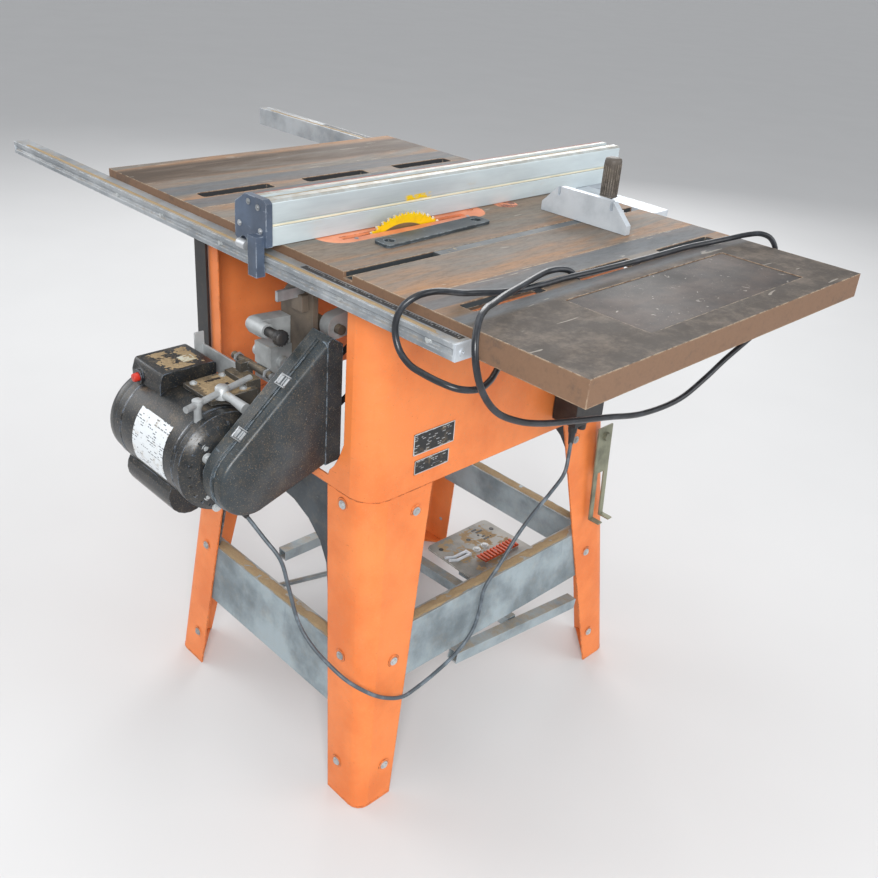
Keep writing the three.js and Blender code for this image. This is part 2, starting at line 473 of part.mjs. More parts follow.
// ---------------------------------------------------------------- fence
const F = FENCE;
const fenceProfile = [[F.x0, 0.8], [F.x0, 30], [F.x0 + 1.5, 31], [F.x0 + 1.5, 35], [F.x0, 36], [F.x0, 66],
  [F.x0 + 4, F.top],
  [F.x0 + 18, F.top], [F.x0 + 18, F.top - 4], [F.x0 + 34, F.top - 4], [F.x0 + 34, F.top],
    [F.x0 + 46, F.top], [F.x0 + 51, 64],
  [F.x0 + 70, 50], [F.x1, 46], [F.x1, 0.8]];
add('fence_body', 'aluminium', prism(Y, fenceProfile.slice().reverse(), F.y0, F.y1));
add('fence_rear_cap', 'slate', cut(prism(Y, [[F.x0 - 4, 1.5], [F.x0 - 4, 67], [F.x0 + 4, 72],
  [F.x0 + 50, 72], [F.x0 + 76, 55],
  [F.x1 + 3, 46], [F.x1 + 3, 1.5], [84, -8], [64, -8], [58, 1.5]], F.y1 + GAP, F.y1 + 12),
    cyl(Y, 74, -6, F.y1 - 2, F.y1 + 20, 12, 12, 16)).add(sum(box(22, 44, F.y1 + 11, 392, -3, 18),
    box(22, 44, 377, 392, -30, 0), box(22, 44, 376, 392, -44, -28))));
add('fence_head', 'aluminium', sum(
  prism(X, [[-478, 0.5], [-478, -12], [-376, -12], [-376, -21.5], [-344, -21.5], [-344, 0.5]], 24, 90),
  prism(Z, [[-170, -344.5], [-170, -376], [-60, -392], [10, -470], [104, -470], [174, -392], [284, -376],
    [284, -344.5]], -21.4, -10),
  prism(Y, [[-170, -12], [-170, -1], [-90, 0.4], [204, 0.4], [284, -1], [284, -12]], -392, -344.5)));
add('fence_lever', 'black', sum(rod([57, -488, -24], [57, -560.15, -70], 9, 12),
  cyl(X, -488, -24, 38, 76, 10, 10, 14)));

// ---------------------------------------------------------------- miter gauge
const M = MITER;
add('miter_bar', 'steel', box(-SLOT.x - 9.2, -SLOT.x + 9.2, -300, 168, -9.2, -0.4));
add('miter_head', 'aluminium', cut(sum(
  prism(Y, [[M.x0, 0.6], [M.x1, 0.6], [M.x1, 16], [M.x1 - 34, M.height], [M.x0 + 34, M.height], [M.x0, 16]],
    M.face - 12, M.face),
  prism(Z, [[-225, -183], [-52, -183], [-78, -232], [-112, -268], [-152, -268], [-190, -232]], 0.6, 9),
  box(-150, -114, -250, -180, 0.6, 26), box(-140, -124, -294, -266, 1, 4)),
  box(-86, -80, M.face - 13, M.face + 1, 34, 60), box(-200, -194, M.face - 13, M.face + 1, 34, 60)));
add('miter_handle', 'bakelite', sum(cyl(Z, -145, -232, 38, 106, 16, 15, 20),
  cyl(Z, -145, -232, 26.4, 39, 8, 8, 14)));

// ---------------------------------------------------------------- loose and hung pieces, switch
add('arbor_wrench', 'slate', cut(prism(Z, rounded([[-79, 221], [-41, 219], [-26, -22], [-64, -24]], 8, 3),
  0.6, 5.6),
  cyl(Z, -58.5, 200, -1, 8, 10, 10, 6), cyl(Z, -46, -4, -1, 8, 10, 10, 6)));
const prong = [[-215, -600], [-212, -600], [-206, -498], [-209, -498]];
add('fork_bracket', 'zinc', sum(prism(Y, [[-209, -500], [-206, -500], [-201, -400], [-204, -400]], -282,
  -238),
  prism(Y, prong, -282, -270), prism(Y, prong, -250, -238), box(-238, -212, -282, -270, -602, -599),
  box(-238, -212, -250, -238, -602, -599), cyl(X, -260, -420, -212, -201, 9, 9, 6)));
add('switch_box', 'black', cut(sum(box(-236, C.x0 - 2.4, -190, -110, -345, -265),
  box(-232, -190, -194, -189, -339, -271),
  cyl(Z, -222, -124, -362, -344, 8, 9, 12), cyl(Z, -222, -150, -362, -344, 8, 9, 12)),
  box(-228, -194, -200, -183, -331, -279)));
add('switch_paddle', 'red', box(-226, -196, -204, -192, -327, -283));

// ---------------------------------------------------------------- cords
// A route is sampled evenly between its points, so closely set points give a tight bend its shape.
class Route extends THREE.CatmullRomCurve3 {
  getPointAt(u, target) { return this.getPoint(u, target); }
  getTangentAt(u, target) { return this.getTangent(u, target); }
}
function cord(name, points, diameter, steps) {
  const route = new Route(points.map((p) => new THREE.Vector3(...p)), false, 'centripetal');
  const ring = new THREE.Shape(circle(0, 0, diameter / 2, 8).map((p) => new THREE.Vector2(...p)));
  const g = new THREE.ExtrudeGeometry(ring, { steps: steps * (points.length - 1), extrudePath: route });
  add(name, 'rubber', manifold(g));
}
const MOTOR_CORD = [[2, 452, -409], [-13, 442, -429], [-42, 430, -460], [-74, 420, -490], [-84, 411, -543],
  [-102, 402, -615], [-132, 397, -645], [-167, 390, -664], [-203, 377, -684], [-229, 350, -708],
    [-233, 312, -738],
  [-234, 274, -756], [-234, 240, -754], [-234, 200, -746], [-233, 160, -735], [-233, 128, -718],
    [-233, 104, -692],
  [-233, 93, -655], [-233, 86, -610], [-233, 52, -574], [-234, 14, -527], [-234, -26, -493],
    [-234, -70, -464],
  [-233, -104, -436], [-225, -120, -402], [-222, -124, -362.5]];
const MAINS_CORD = [[-215, -150, -263], [-215, -152, -238], [-220, -161, -208], [-240, -180, -182],
  [-275, -212, -162],
  [-314, -248, -138], [-348, -284, -106], [-376, -316, -72], [-398, -333, -52], [-425, -337, -46.5],
    [-452, -332, -49],
  [-470, -314, -60], [-474, -288, -80], [-467, -258, -104], [-458, -225, -128], [-452, -186, -149],
    [-450, -139, -170],
  [-450, -73, -188], [-450, 29, -184], [-450, 119, -163], [-450, 209, -142], [-450, 272, -126],
    [-450, 320, -108],
  [-449, 364, -82], [-447, 391, -48], [-443, 402, -14], [-434, 398, 16], [-419, 378, 33], [-400, 347, 34],
  [-378, 309, 26], [-355, 262, 20], [-334, 200, 17], [-319, 154, 15.5], [-311, 122, 14.5], [-313, 97, 14],
  [-317, 78, 8.9], [-320, 66.5, -1], [-322, 60.3, -14.2], [-322.5, 59.6, -30], [-322.5, 66.5, -46.5],
    [-323, 81, -58],
  [-325, 104, -64], [-334, 155, -67], [-352, 220, -68], [-378, 284, -68], [-402, 328, -68],
    [-413, 362, -66],
  [-405, 389, -61], [-384, 402, -56], [-356, 404.5, -54], [-332, 403.5, -52], [-311, 402.5, -41],
    [-300, 402, -22],
  [-299, 401, -2], [-304, 395, 17], [-311, 379, 29], [-314, 356, 31], [-311, 331, 26], [-305, 306, 18],
  [-301, 281, 10.5], [-304, 256, 7], [-314, 229, 5.2], [-323, 198, 5.2], [-327, 155, 5.2], [-327, 100, 5.2],
  [-331, 46, 5.2], [-335, -37, 5.2], [-337, -123, 5.2], [-338, -200, 5.2], [-345, -262, 5.4],
    [-357, -300, 9.5],
  [-371, -324, 15], [-384, -343, 17], [-395, -358, 11], [-402, -368, -3], [-406, -372.5, -22],
    [-409, -374, -50],
  [-412, -374, -84]];
cord('motor_cord', MOTOR_CORD, 7, 3);
cord('mains_cord', MAINS_CORD, 9, 1);
add('mains_plug', 'rubber', sum(cyl(Z, -412, -374, -99, -84.5, 11, 7, 14),
  prism(Z, rounded([[-430, -388], [-394, -388],
  [-394, -360], [-430, -360]], 9, 3), -126, -98), box(-424.2, -421.8, -377, -371, -145, -125),
  box(-402.2, -399.8, -377, -371, -145, -125), cyl(Z, -412, -383, -146, -125, 2.4, 2.4, 10)));

export default part;
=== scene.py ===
"""Contractor table saw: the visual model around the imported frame.

Lengths are millimetres from the middle of the table's top, with X to the operator's right, Y away from
the operator and Z up, unless a name says otherwise. at() turns such a point into the frame's metres.
"""

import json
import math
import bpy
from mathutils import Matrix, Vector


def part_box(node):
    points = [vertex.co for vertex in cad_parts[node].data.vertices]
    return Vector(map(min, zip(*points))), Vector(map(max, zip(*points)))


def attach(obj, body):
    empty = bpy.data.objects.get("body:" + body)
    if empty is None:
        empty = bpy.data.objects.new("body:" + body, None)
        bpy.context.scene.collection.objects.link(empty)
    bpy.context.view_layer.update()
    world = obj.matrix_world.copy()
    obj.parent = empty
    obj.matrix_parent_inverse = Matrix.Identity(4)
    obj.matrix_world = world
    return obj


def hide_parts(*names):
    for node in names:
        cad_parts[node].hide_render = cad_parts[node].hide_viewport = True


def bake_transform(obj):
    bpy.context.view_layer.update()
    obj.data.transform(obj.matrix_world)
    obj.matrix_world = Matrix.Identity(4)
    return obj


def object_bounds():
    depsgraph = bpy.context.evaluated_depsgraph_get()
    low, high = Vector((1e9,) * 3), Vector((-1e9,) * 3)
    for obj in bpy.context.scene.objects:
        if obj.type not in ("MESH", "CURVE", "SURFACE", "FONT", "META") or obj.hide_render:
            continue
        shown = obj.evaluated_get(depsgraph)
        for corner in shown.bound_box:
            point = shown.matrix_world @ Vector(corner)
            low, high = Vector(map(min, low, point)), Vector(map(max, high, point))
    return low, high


bl_info = {
    "name": "Contractor Table Saw",
    "version": (1, 0, 0),
    "blender": (4, 5, 0),
    "location": "View3D > Sidebar > Table Saw",
    "description": "Builds a contractor table saw around its packed frame",
    "category": "Add Mesh",
}

import bmesh
import bpy
from mathutils import Matrix, Vector, noise

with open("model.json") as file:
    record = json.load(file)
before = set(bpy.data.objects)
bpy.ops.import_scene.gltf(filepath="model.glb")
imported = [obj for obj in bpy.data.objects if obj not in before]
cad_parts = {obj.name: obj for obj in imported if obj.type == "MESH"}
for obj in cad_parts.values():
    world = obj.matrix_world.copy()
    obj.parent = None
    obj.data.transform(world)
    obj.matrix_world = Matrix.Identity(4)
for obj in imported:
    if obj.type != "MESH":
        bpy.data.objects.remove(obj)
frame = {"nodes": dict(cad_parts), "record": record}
CAD_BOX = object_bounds()
NODES = frame["nodes"]
BODY_OF = {n: b for b, ns in frame["record"]["behaviour"]["bodies"].items() for n in ns}

# ---------------------------------------------------------------- driving places
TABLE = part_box("main_table")
ORIGIN = Vector(((TABLE[0].x + TABLE[1].x) / 2, (TABLE[0].y + TABLE[1].y) / 2, TABLE[1].z))


def at(x, y, z):
    """A point in millimetres from the middle of the table's top, in the frame's metres."""
    return ORIGIN + Vector((x, y, z)) / 1000


def span(node):
    """A CAD node's lowest and highest corners, in millimetres from the middle of the table's top."""
    low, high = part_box(node)
    return (low - ORIGIN) * 1000, (high - ORIGIN) * 1000


MOTOR_LOW, MOTOR_HIGH = span("motor_body")
MOTOR_Y, MOTOR_Z = (MOTOR_LOW.y + MOTOR_HIGH.y) / 2, (MOTOR_LOW.z + MOTOR_HIGH.z) / 2
MOTOR_R = (MOTOR_HIGH.z - MOTOR_LOW.z) / 2
THROUGH_BOLT_CIRCLE = 60
RESET_X, RESET_Z = 190, -238
BLADE_LOW, BLADE_HIGH = span("blade")
BLADE_Y, BLADE_Z = (BLADE_LOW.y + BLADE_HIGH.y) / 2, (BLADE_LOW.z + BLADE_HIGH.z) / 2
BLADE_R = (BLADE_HIGH.z - BLADE_LOW.z) / 2
CABINET_LOW, CABINET_HIGH = span("cabinet")
GUARD_END_R = 60
MITER_X, MITER_Y = -132, -190
MITER_KNOB_X, MITER_KNOB_Y = -145, -232
X, Y, Z = Vector((1, 0, 0)), Vector((0, 1, 0)), Vector((0, 0, 1))
SQUARE = ((-1, -1), (1, -1), (1, 1), (-1, 1))


def rgb(code):
    """A linear colour from a display colour written as six hex digits."""
    parts = [int(code[k : k + 2], 16) / 255 for k in (0, 2, 4)]
    return tuple(c / 12.92 if c <= 0.04045 else ((c + 0.055) / 1.055) ** 2.4 for c in parts)


def colour(label, code):
    """A colour property, from a display colour."""
    return bpy.props.FloatVectorProperty(
        name=label, description=f"{label} colour", subtype="COLOR", size=3, min=0, max=1, default=rgb(code)
    )


def length(label, millimetres):
    """A length property in metres."""
    return bpy.props.FloatProperty(
        name=label, description=f"{label}, in metres", unit="LENGTH", min=0, default=millimetres / 1000
    )


class SawColours(bpy.types.PropertyGroup):
    """The colours of the finishes."""

    orange: colour("Orange enamel", "EA8444")
    iron: colour("Machined iron", "777068")
    patina: colour("Rust patina", "A07650")
    strip: colour("Burnished strip", "596168")
    charcoal: colour("Charcoal paint", "42494F")
    black: colour("Black enamel", "14171A")
    alloy: colour("Anodised alloy", "CFDCDF")
    slate: colour("Slate paint", "55647A")
    coating: colour("Blade coating", "F4CF10")
    salmon: colour("Insert paint", "F09A70")
    sawdust: colour("Sawdust", "A38D6C")
    red: colour("Red plastic", "D22E1C")


class SawSizes(bpy.types.PropertyGroup):
    """Sizes that may be changed without new CAD."""

    edge: length("Edge rounding", 0.8)
    bolt_head: length("Bolt head radius", 5.5)
    motor_cord: length("Motor cord diameter", 7)
    mains_cord: length("Mains cord diameter", 9)
    teeth: bpy.props.IntProperty(name="Teeth", description="Teeth on the blade", default=60, min=12, max=80)


def shades():
    return bpy.context.scene.saw_colours


def sizes():
    return bpy.context.scene.saw_sizes


# ---------------------------------------------------------------- materials
class Look:
    """One material's node tree, with a method for each kind of node it uses."""

    def __init__(self, name):
        self.material = bpy.data.materials.new(name)
        self.material.use_nodes = True
        self.tree = self.material.node_tree
        self.tree.nodes.clear()
        self.shader = self.tree.nodes.new("ShaderNodeBsdfPrincipled")
        output = self.tree.nodes.new("ShaderNodeOutputMaterial")
        self.tree.links.new(self.shader.outputs["BSDF"], output.inputs["Surface"])
        self.place = self.tree.nodes.new("ShaderNodeTexCoord").outputs["Object"]
        self.heights = []

    def set(self, socket, value):
        if isinstance(value, bpy.types.NodeSocket):
            self.tree.links.new(value, socket)
        elif hasattr(value, "__len__") and len(value) == 3 and socket.type == "RGBA":
            socket.default_value = (*value, 1)
        else:
            socket.default_value = value

    def node(self, kind, inputs=(), **settings):
        made = self.tree.nodes.new(kind)
        for name, value in settings.items():
            setattr(made, name, value)
        for key, value in dict(inputs).items():
            self.set(made.inputs[key], value)
        return made

    def stretch(self, x=1, y=1, z=1):
        return self.node("ShaderNodeMapping", {"Vector": self.place, "Scale": (x, y, z)}).outputs[0]

    def noise(self, scale, detail=5, rough=0.6, where=None, twist=0):
        fields = {"Vector": where or self.place, "Scale": scale, "Detail": detail, "Roughness": rough}
        return self.node("ShaderNodeTexNoise", {**fields, "Distortion": twist}).outputs[0]

    def window(self, value, low, high):
        """0 below low and 1 above high, with a soft step between."""
        fields = {"Value": value, "From Min": low, "From Max": high}
        return self.node("ShaderNodeMapRange", fields, interpolation_type="SMOOTHSTEP").outputs[0]

    def between(self, value, low, high, soft):
        """1 between low and high, 0 outside, with soft ends."""
        return self.times(self.window(value, low - soft, low), self.window(value, high + soft, high))

    def scaled(self, value, low, high):
        fields = {"Value": value, "To Min": low, "To Max": high}
        return self.node("ShaderNodeMapRange", fields).outputs[0]

    def times(self, a, b):
        return self.node("ShaderNodeMath", {0: a, 1: b}, operation="MULTIPLY").outputs[0]

    def less(self, a, b):
        return self.node("ShaderNodeMath", {0: a, 1: b}, operation="SUBTRACT").outputs[0]

    def most(self, a, b):
        return self.node("ShaderNodeMath", {0: a, 1: b}, operation="MAXIMUM").outputs[0]

    def mix(self, share, a, b):
        made = self.node("ShaderNodeMix", data_type="RGBA")
        for key, value in ((0, share), (6, a), (7, b)):
            self.set(made.inputs[key], value)
        return made.outputs[2]

    def axis(self, name):
        return self.node("ShaderNodeSeparateXYZ", {0: self.place}).outputs[name]

    def facing_up(self):
        """1 on ground that faces up, 0 on walls and -1 underneath."""
        normal = self.node("ShaderNodeNewGeometry").outputs["Normal"]
        return self.node("ShaderNodeSeparateXYZ", {0: normal}).outputs["Z"]

    def edges(self, radius=0.0025):
        """1 along sharp edges, 0 on flat ground."""
        soft = self.node("ShaderNodeBevel", {"Radius": radius}, samples=4).outputs[0]
        true = self.node("ShaderNodeNewGeometry").outputs["Normal"]
        dot = self.node("ShaderNodeVectorMath", {0: soft, 1: true}, operation="DOT_PRODUCT").outputs["Value"]
        return self.window(dot, 0.985, 0.90)

    def raise_by(self, height, strength, distance):
        self.heights.append((height, strength, distance))

    def done(self, tone, rough, metal=0.0, **others):
        """Joins the bumps and sets the shader's sockets."""
        normal = None
        for height, strength, distance in self.heights:
            fields = {"Height": height, "Strength": strength, "Distance": distance}
            if normal:
                fields["Normal"] = normal
            normal = self.node("ShaderNodeBump", fields).outputs[0]
        fields = {"Base Color": tone, "Roughness": rough, "Metallic": metal}
        if normal:
            fields["Normal"] = normal
        for key, value in {**fields, **others}.items():
            self.set(self.shader.inputs[key], value)
        return self.material


def coated(name, paint, dark, rough=0.42, metal=0.0, dust=0.5, wear_and_highlight=None, grain=900, speck=0.0):
    """Paint or plastic with mottling, scratches, worn edges, and sawdust on what faces up; on the belt guard
    the light edge colour is also a painted highlight.
    """
    look = Look(name)
    tone = look.mix(look.window(look.noise(9, 6), 0.35, 0.7), paint, dark)
    streaks = look.noise(60, 3, 0.7, look.stretch(1, 1, 0.07))
    tone = look.mix(look.scaled(look.window(streaks, 0.6, 0.8), 0, 0.35), tone, dark)
    scratches = look.window(look.noise(300, 2, 0.5, look.stretch(0.25, 1, 1), 0.4), 0.7, 0.74)
    tone = look.mix(look.times(scratches, 0.3), tone, wear_and_highlight or dark)
    # The edge colour is worn paint; on the belt guard it is also a painted highlight along the rounded edges.
    if wear_and_highlight:
        tone = look.mix(look.times(look.edges(), look.window(look.noise(70), 0.42, 0.58)), tone, wear_and_highlight)
    up = look.window(look.facing_up(), 0.2, 0.9)
    patch = look.window(look.noise(32, 8, 0.75), 0.64 - 0.42 * dust, 0.86 - 0.3 * dust)
    grit = look.window(look.noise(650, 3, 0.85), 0.36, 0.6)
    cover = look.times(look.times(up, patch), look.scaled(grit, 0.3, 1))
    film = look.times(look.window(look.noise(38, 6, 0.8), 0.45, 0.8), 0.22)
    flecks = look.times(look.window(look.noise(420, 3, 0.8), 0.67 - speck, 0.73 - speck), 0.4)
    film = look.times(film, min(1, dust + 0.2))
    cover = look.most(look.times(cover, min(1, 0.4 + 0.6 * dust)), look.most(flecks, film))
    tone = look.mix(cover, tone, tuple(shades().sawdust))
    look.raise_by(look.noise(grain, 2), 0.12, 0.0004)
    look.raise_by(cover, 0.5, 0.0008)
    bare = look.scaled(look.noise(18, 5), rough - 0.08, rough + 0.12)
    return look.done(tone, look.most(bare, look.times(cover, 0.92)), metal)


def cast_iron(name):
    """The ground table: brown patina over grey iron, a burnished strip, streaks and dust, with painted shade
    down in the slots.
    """
    look, s = Look(name), shades()
    x = look.axis("X")
    grey, tan = tuple(s.iron), tuple(s.patina)
    along = look.noise(14, 7, 0.65, look.stretch(1, 0.14, 1), 0.6)
    tone = look.mix(look.window(along, 0.38, 0.66), grey, tan)
    tone = look.mix(look.window(look.noise(5, 6, 0.6, look.stretch(1, 0.4, 1)), 0.5, 0.8), tone,
                    rgb("54493D"))
    top = look.window(look.facing_up(), 0.5, 0.9)

    def band(low, high, soft=6):
        return look.between(x, at(low, 0, 0).x, at(high, 0, 0).x, soft / 1000)

    right = look.most(band(257, 303, 3), band(343, 385, 10))
    left = look.most(band(-303, -257, 3), band(-368, -343, 8))
    strips = look.most(right, left)
    strips = look.times(strips, look.scaled(look.noise(16, 5, 0.6, look.stretch(1, 0.3, 1)), 0.45, 1))
    tone = look.mix(strips, tone, tuple(s.strip))
    tone = look.mix(look.times(band(448, 522, 26), look.window(along, 0.3, 0.55)), tone, rgb("4A3B2E"))
    outer = look.window(x, at(-356, 0, 0).x, at(-372, 0, 0).x)
    blotch = look.window(look.noise(22, 8, 0.72), 0.4, 0.68)
    slab = look.mix(blotch, rgb("443D37"), rgb("6B6056"))
    tone = look.mix(outer, tone, slab)
    cloudy = look.window(look.noise(7, 5, 0.6, look.stretch(1, 0.5, 1)), 0.35, 0.6)
    middle = look.times(band(-60, 240, 40), cloudy)
    tone = look.mix(look.times(middle, 0.65), tone, rgb("7D7C76"))
    streaks = look.window(look.noise(180, 5, 0.8, look.stretch(1, 0.2, 1)), 0.4, 0.7)
    tone = look.mix(look.times(streaks, 0.4), tone, rgb("40372D"))
    # Below the top, the slots are coloured dark grey: painted shade in the recesses.
    miter_slots = look.most(band(-150, -114, 1), band(114, 150, 1))
    slots = look.most(miter_slots, look.most(band(304, 342, 1), band(-342, -304, 1)))
    slots = look.times(slots, look.between(look.axis("Y"), at(0, -338, 0).y, at(0, 338, 0).y, 0.001))
    slot_shade = look.times(slots, look.window(look.axis("Z"), at(0, 0, -0.6).z, at(0, 0, -2).z))
    flecks = look.window(look.noise(520, 3, 0.85), 0.64, 0.7)
    flecks = look.times(flecks, look.window(look.noise(9, 4), 0.35, 0.65))
    hairs = look.window(look.noise(130, 2, 0.4, look.stretch(0.5, 0.06, 1), 1.6), 0.7, 0.72)
    tone = look.mix(look.times(look.most(flecks, hairs), 0.45), tone, rgb("B9B2A6"))
    peeled = look.times(look.window(look.noise(16, 7, 0.7), 0.56, 0.64), 0.6)
    side = look.mix(peeled, rgb("755A47"), rgb("4C433E"))
    side = look.mix(look.times(look.noise(300, 2), 0.3), side, rgb("94775E"))
    side = look.mix(look.times(look.window(look.noise(90, 5, 0.8), 0.5, 0.7), 0.4), side, rgb("5A4A3F"))
    # The dark grey in the slots is painted shade, laid over every other colour.
    tone = look.mix(slot_shade, look.mix(top, side, tone), rgb("33373A"))
    tone = look.mix(look.times(look.edges(0.003), look.window(look.noise(90), 0.4, 0.55)), tone,
                    rgb("AE9B84"))
    look.raise_by(look.noise(900, 3, 0.7), 0.12, 0.0004)
    look.raise_by(along, 0.06, 0.0006)
    rough = look.scaled(look.noise(12, 6, 0.7, look.stretch(1, 0.3, 1)), 0.46, 0.8)
    return look.done(tone, rough, 0.0, **{"Specular IOR Level": 0.3})


def dark_panel(name):
    """The inset plate: dark, oily and scratched."""
    look = Look(name)
    oil = look.window(look.noise(14, 8, 0.7, look.stretch(1, 0.6, 1)), 0.38, 0.66)
    tone = look.mix(oil, rgb("292320"), rgb("483B34"))
    ring = look.window(look.noise(46, 4, 0.5, None, 2.2), 0.68, 0.7)
    flecks = look.most(look.window(look.noise(380, 3, 0.8), 0.66, 0.72), ring)
    tone = look.mix(look.times(flecks, 0.45), tone, rgb("C8C0B6"))
    look.raise_by(look.noise(500, 3), 0.1, 0.0004)
    return look.done(tone, look.scaled(look.noise(9, 6), 0.34, 0.66), 0.0, **{"Specular IOR Level": 0.28})


def metal(name, tone, dark, rough=0.32, along=(1, 1, 1), dust=0.25, level=0.9):
    """Bare or plated metal with a grain along one way and dust in the scratches."""
    look = Look(name)
    grain = look.noise(700, 3, 0.6, look.stretch(*along))
    base = look.mix(look.window(look.noise(12, 6), 0.4, 0.72), tone, dark)
    base = look.mix(look.times(grain, 0.25), base, dark)
    up = look.window(look.facing_up(), 0.3, 0.9)
    cover = look.times(up, look.window(look.noise(34, 8, 0.75), 0.66 - 0.4 * dust, 0.8 - 0.3 * dust))
    cover = look.most(cover, look.times(look.window(look.noise(460, 3, 0.8), 0.68, 0.74), 0.35))
    base = look.mix(cover, base, tuple(shades().sawdust))
    look.raise_by(grain, 0.08, 0.0003)
    rougher = look.most(look.scaled(grain, rough - 0.06, rough + 0.16), look.times(cover, 0.9))
    return look.done(base, rougher, look.times(look.scaled(cover, 1, 0), level))


def alloy_fence(name):
    """Anodised extrusion: pale blue-grey, with rubbed bands, sawdust and one spot of yellow."""
    look = Look(name)
    pale = tuple(shades().alloy)
    grain = look.noise(500, 3, 0.6, look.stretch(1, 0.03, 1))
    base = look.mix(look.window(look.noise(10, 5, 0.6, look.stretch(1, 0.2, 1)), 0.35, 0.7), pale,
                    rgb("ABB7BD"))
    base = look.mix(look.times(grain, 0.3), base, rgb("DDE4E7"))
    smear = look.window(look.noise(30, 6, 0.7, look.stretch(1, 0.25, 1)), 0.6, 0.72)
    base = look.mix(look.times(smear, 0.35), base, rgb("C7C2B4"))
    settled = look.scaled(look.window(look.noise(40, 7, 0.7), 0.36, 0.6), 0.55, 1)
    base = look.mix(look.times(look.window(look.facing_up(), 0.4, 0.9), settled), base, rgb("8E8779"))
    rubbed = look.between(look.axis("Y"), at(0, 46, 0).y, at(0, 92, 0).y, 0.01)
    low = look.between(look.axis("Z"), at(0, 0, 35).z, at(0, 0, 42).z, 0.003)
    spot = look.times(look.times(rubbed, low), look.window(look.noise(120, 4), 0.38, 0.55))
    base = look.mix(spot, base, tuple(shades().coating))
    look.raise_by(grain, 0.05, 0.0003)
    return look.done(base, look.scaled(grain, 0.3, 0.52), 0.25)


def blade_look(name):
    """Yellow coating with darker mottling, and painted shade in a lens-shaped patch below the teeth, where
    the blade rises out of the throat.
    """
    look, s = Look(name), shades()
    worn = look.window(look.noise(40, 6, 0.7), 0.45, 0.62)
    # A lens from 10 to 16 mm under the table's top up to 7.5 mm above it, where the blade rises out of the
    # throat, is coloured dark purple-grey: painted shade.
    across = look.less(look.axis("Y"), at(0, BLADE_Y + 5, 0).y)
    arch = look.times(look.times(across, across), -5.2)
    arch = look.less(arch, -at(0, 0, 7.5).z)
    under = look.less(arch, look.axis("Z"))
    above = look.window(look.axis("Z"), at(0, 0, -16).z, at(0, 0, -10).z)
    dark = look.times(look.window(under, 0, 0.0015), above)
    tone = look.mix(look.times(worn, 0.3), tuple(s.coating), rgb("B98F0C"))
    # Painted shade: the dark lens where the blade meets the throat.
    tone = look.mix(look.times(dark, 0.85), tone, rgb("4B4250"))
    look.raise_by(look.noise(600, 2, 0.5), 0.06, 0.0003)
    return look.done(tone, look.scaled(worn, 0.3, 0.5), 0.25)


def rubber_cord(name, tone, shine):
    """Rubber with light grit; shine is its middle roughness."""
    look = Look(name)
    base = look.mix(look.window(look.noise(40, 5), 0.45, 0.7), tone, tuple(c * 2.2 + 0.004 for c in tone))
    grit = look.window(look.noise(500, 3, 0.8), 0.64, 0.72)
    base = look.mix(look.times(grit, 0.3), base, tuple(shades().sawdust))
    look.raise_by(look.noise(350, 3), 0.15, 0.0004)
    return look.done(base, look.scaled(look.noise(60, 3), shine - 0.08, shine + 0.12))


def printed(name, ground, ink, row_height, line_axis=("Y", "Z")):
    """A plate printed with rows of plain dashes, which stand for no real words."""
    look = Look(name)
    xyz = look.node("ShaderNodeSeparateXYZ", {0: look.place})
    flat = look.node("ShaderNodeCombineXYZ", {0: xyz.outputs[line_axis[0]],
                                              1: xyz.outputs[line_axis[1]]}).outputs[0]
    fields = {"Vector": flat, "Scale": 1.0, "Mortar Size": row_height * 0.3, "Brick Width": row_height * 2.6}
    fields.update({"Row Height": row_height, "Color1": (0, 0, 0), "Color2": (1, 1, 1), "Bias": 0.1,
                   "Mortar": (1, 1, 1)})
    bricks = look.node("ShaderNodeTexBrick", fields, offset_frequency=2, squash_frequency=3, squash=0.6)
    words = look.window(bricks.outputs["Color"], 0.45, 0.35)
    tone = look.mix(words, ground, ink)
    grime = look.window(look.noise(60, 6, 0.7), 0.5, 0.72)
    tone = look.mix(look.times(grime, 0.4), tone, tuple(shades().sawdust))
    look.raise_by(look.noise(300, 2), 0.05, 0.0003)
    return look.done(tone, look.scaled(grime, 0.35, 0.7))


def loose_dust(name):
    """Sawdust that lies in drifts."""
    look = Look(name)
    tan = tuple(shades().sawdust)
    tone = look.mix(look.noise(260, 6, 0.8), tuple(c * 0.55 for c in tan),
                    tuple(min(1, c * 1.35) for c in tan))
    look.raise_by(look.noise(600, 4, 0.8), 0.9, 0.001)
    return look.done(tone, look.scaled(look.noise(300), 0.85, 1.0))


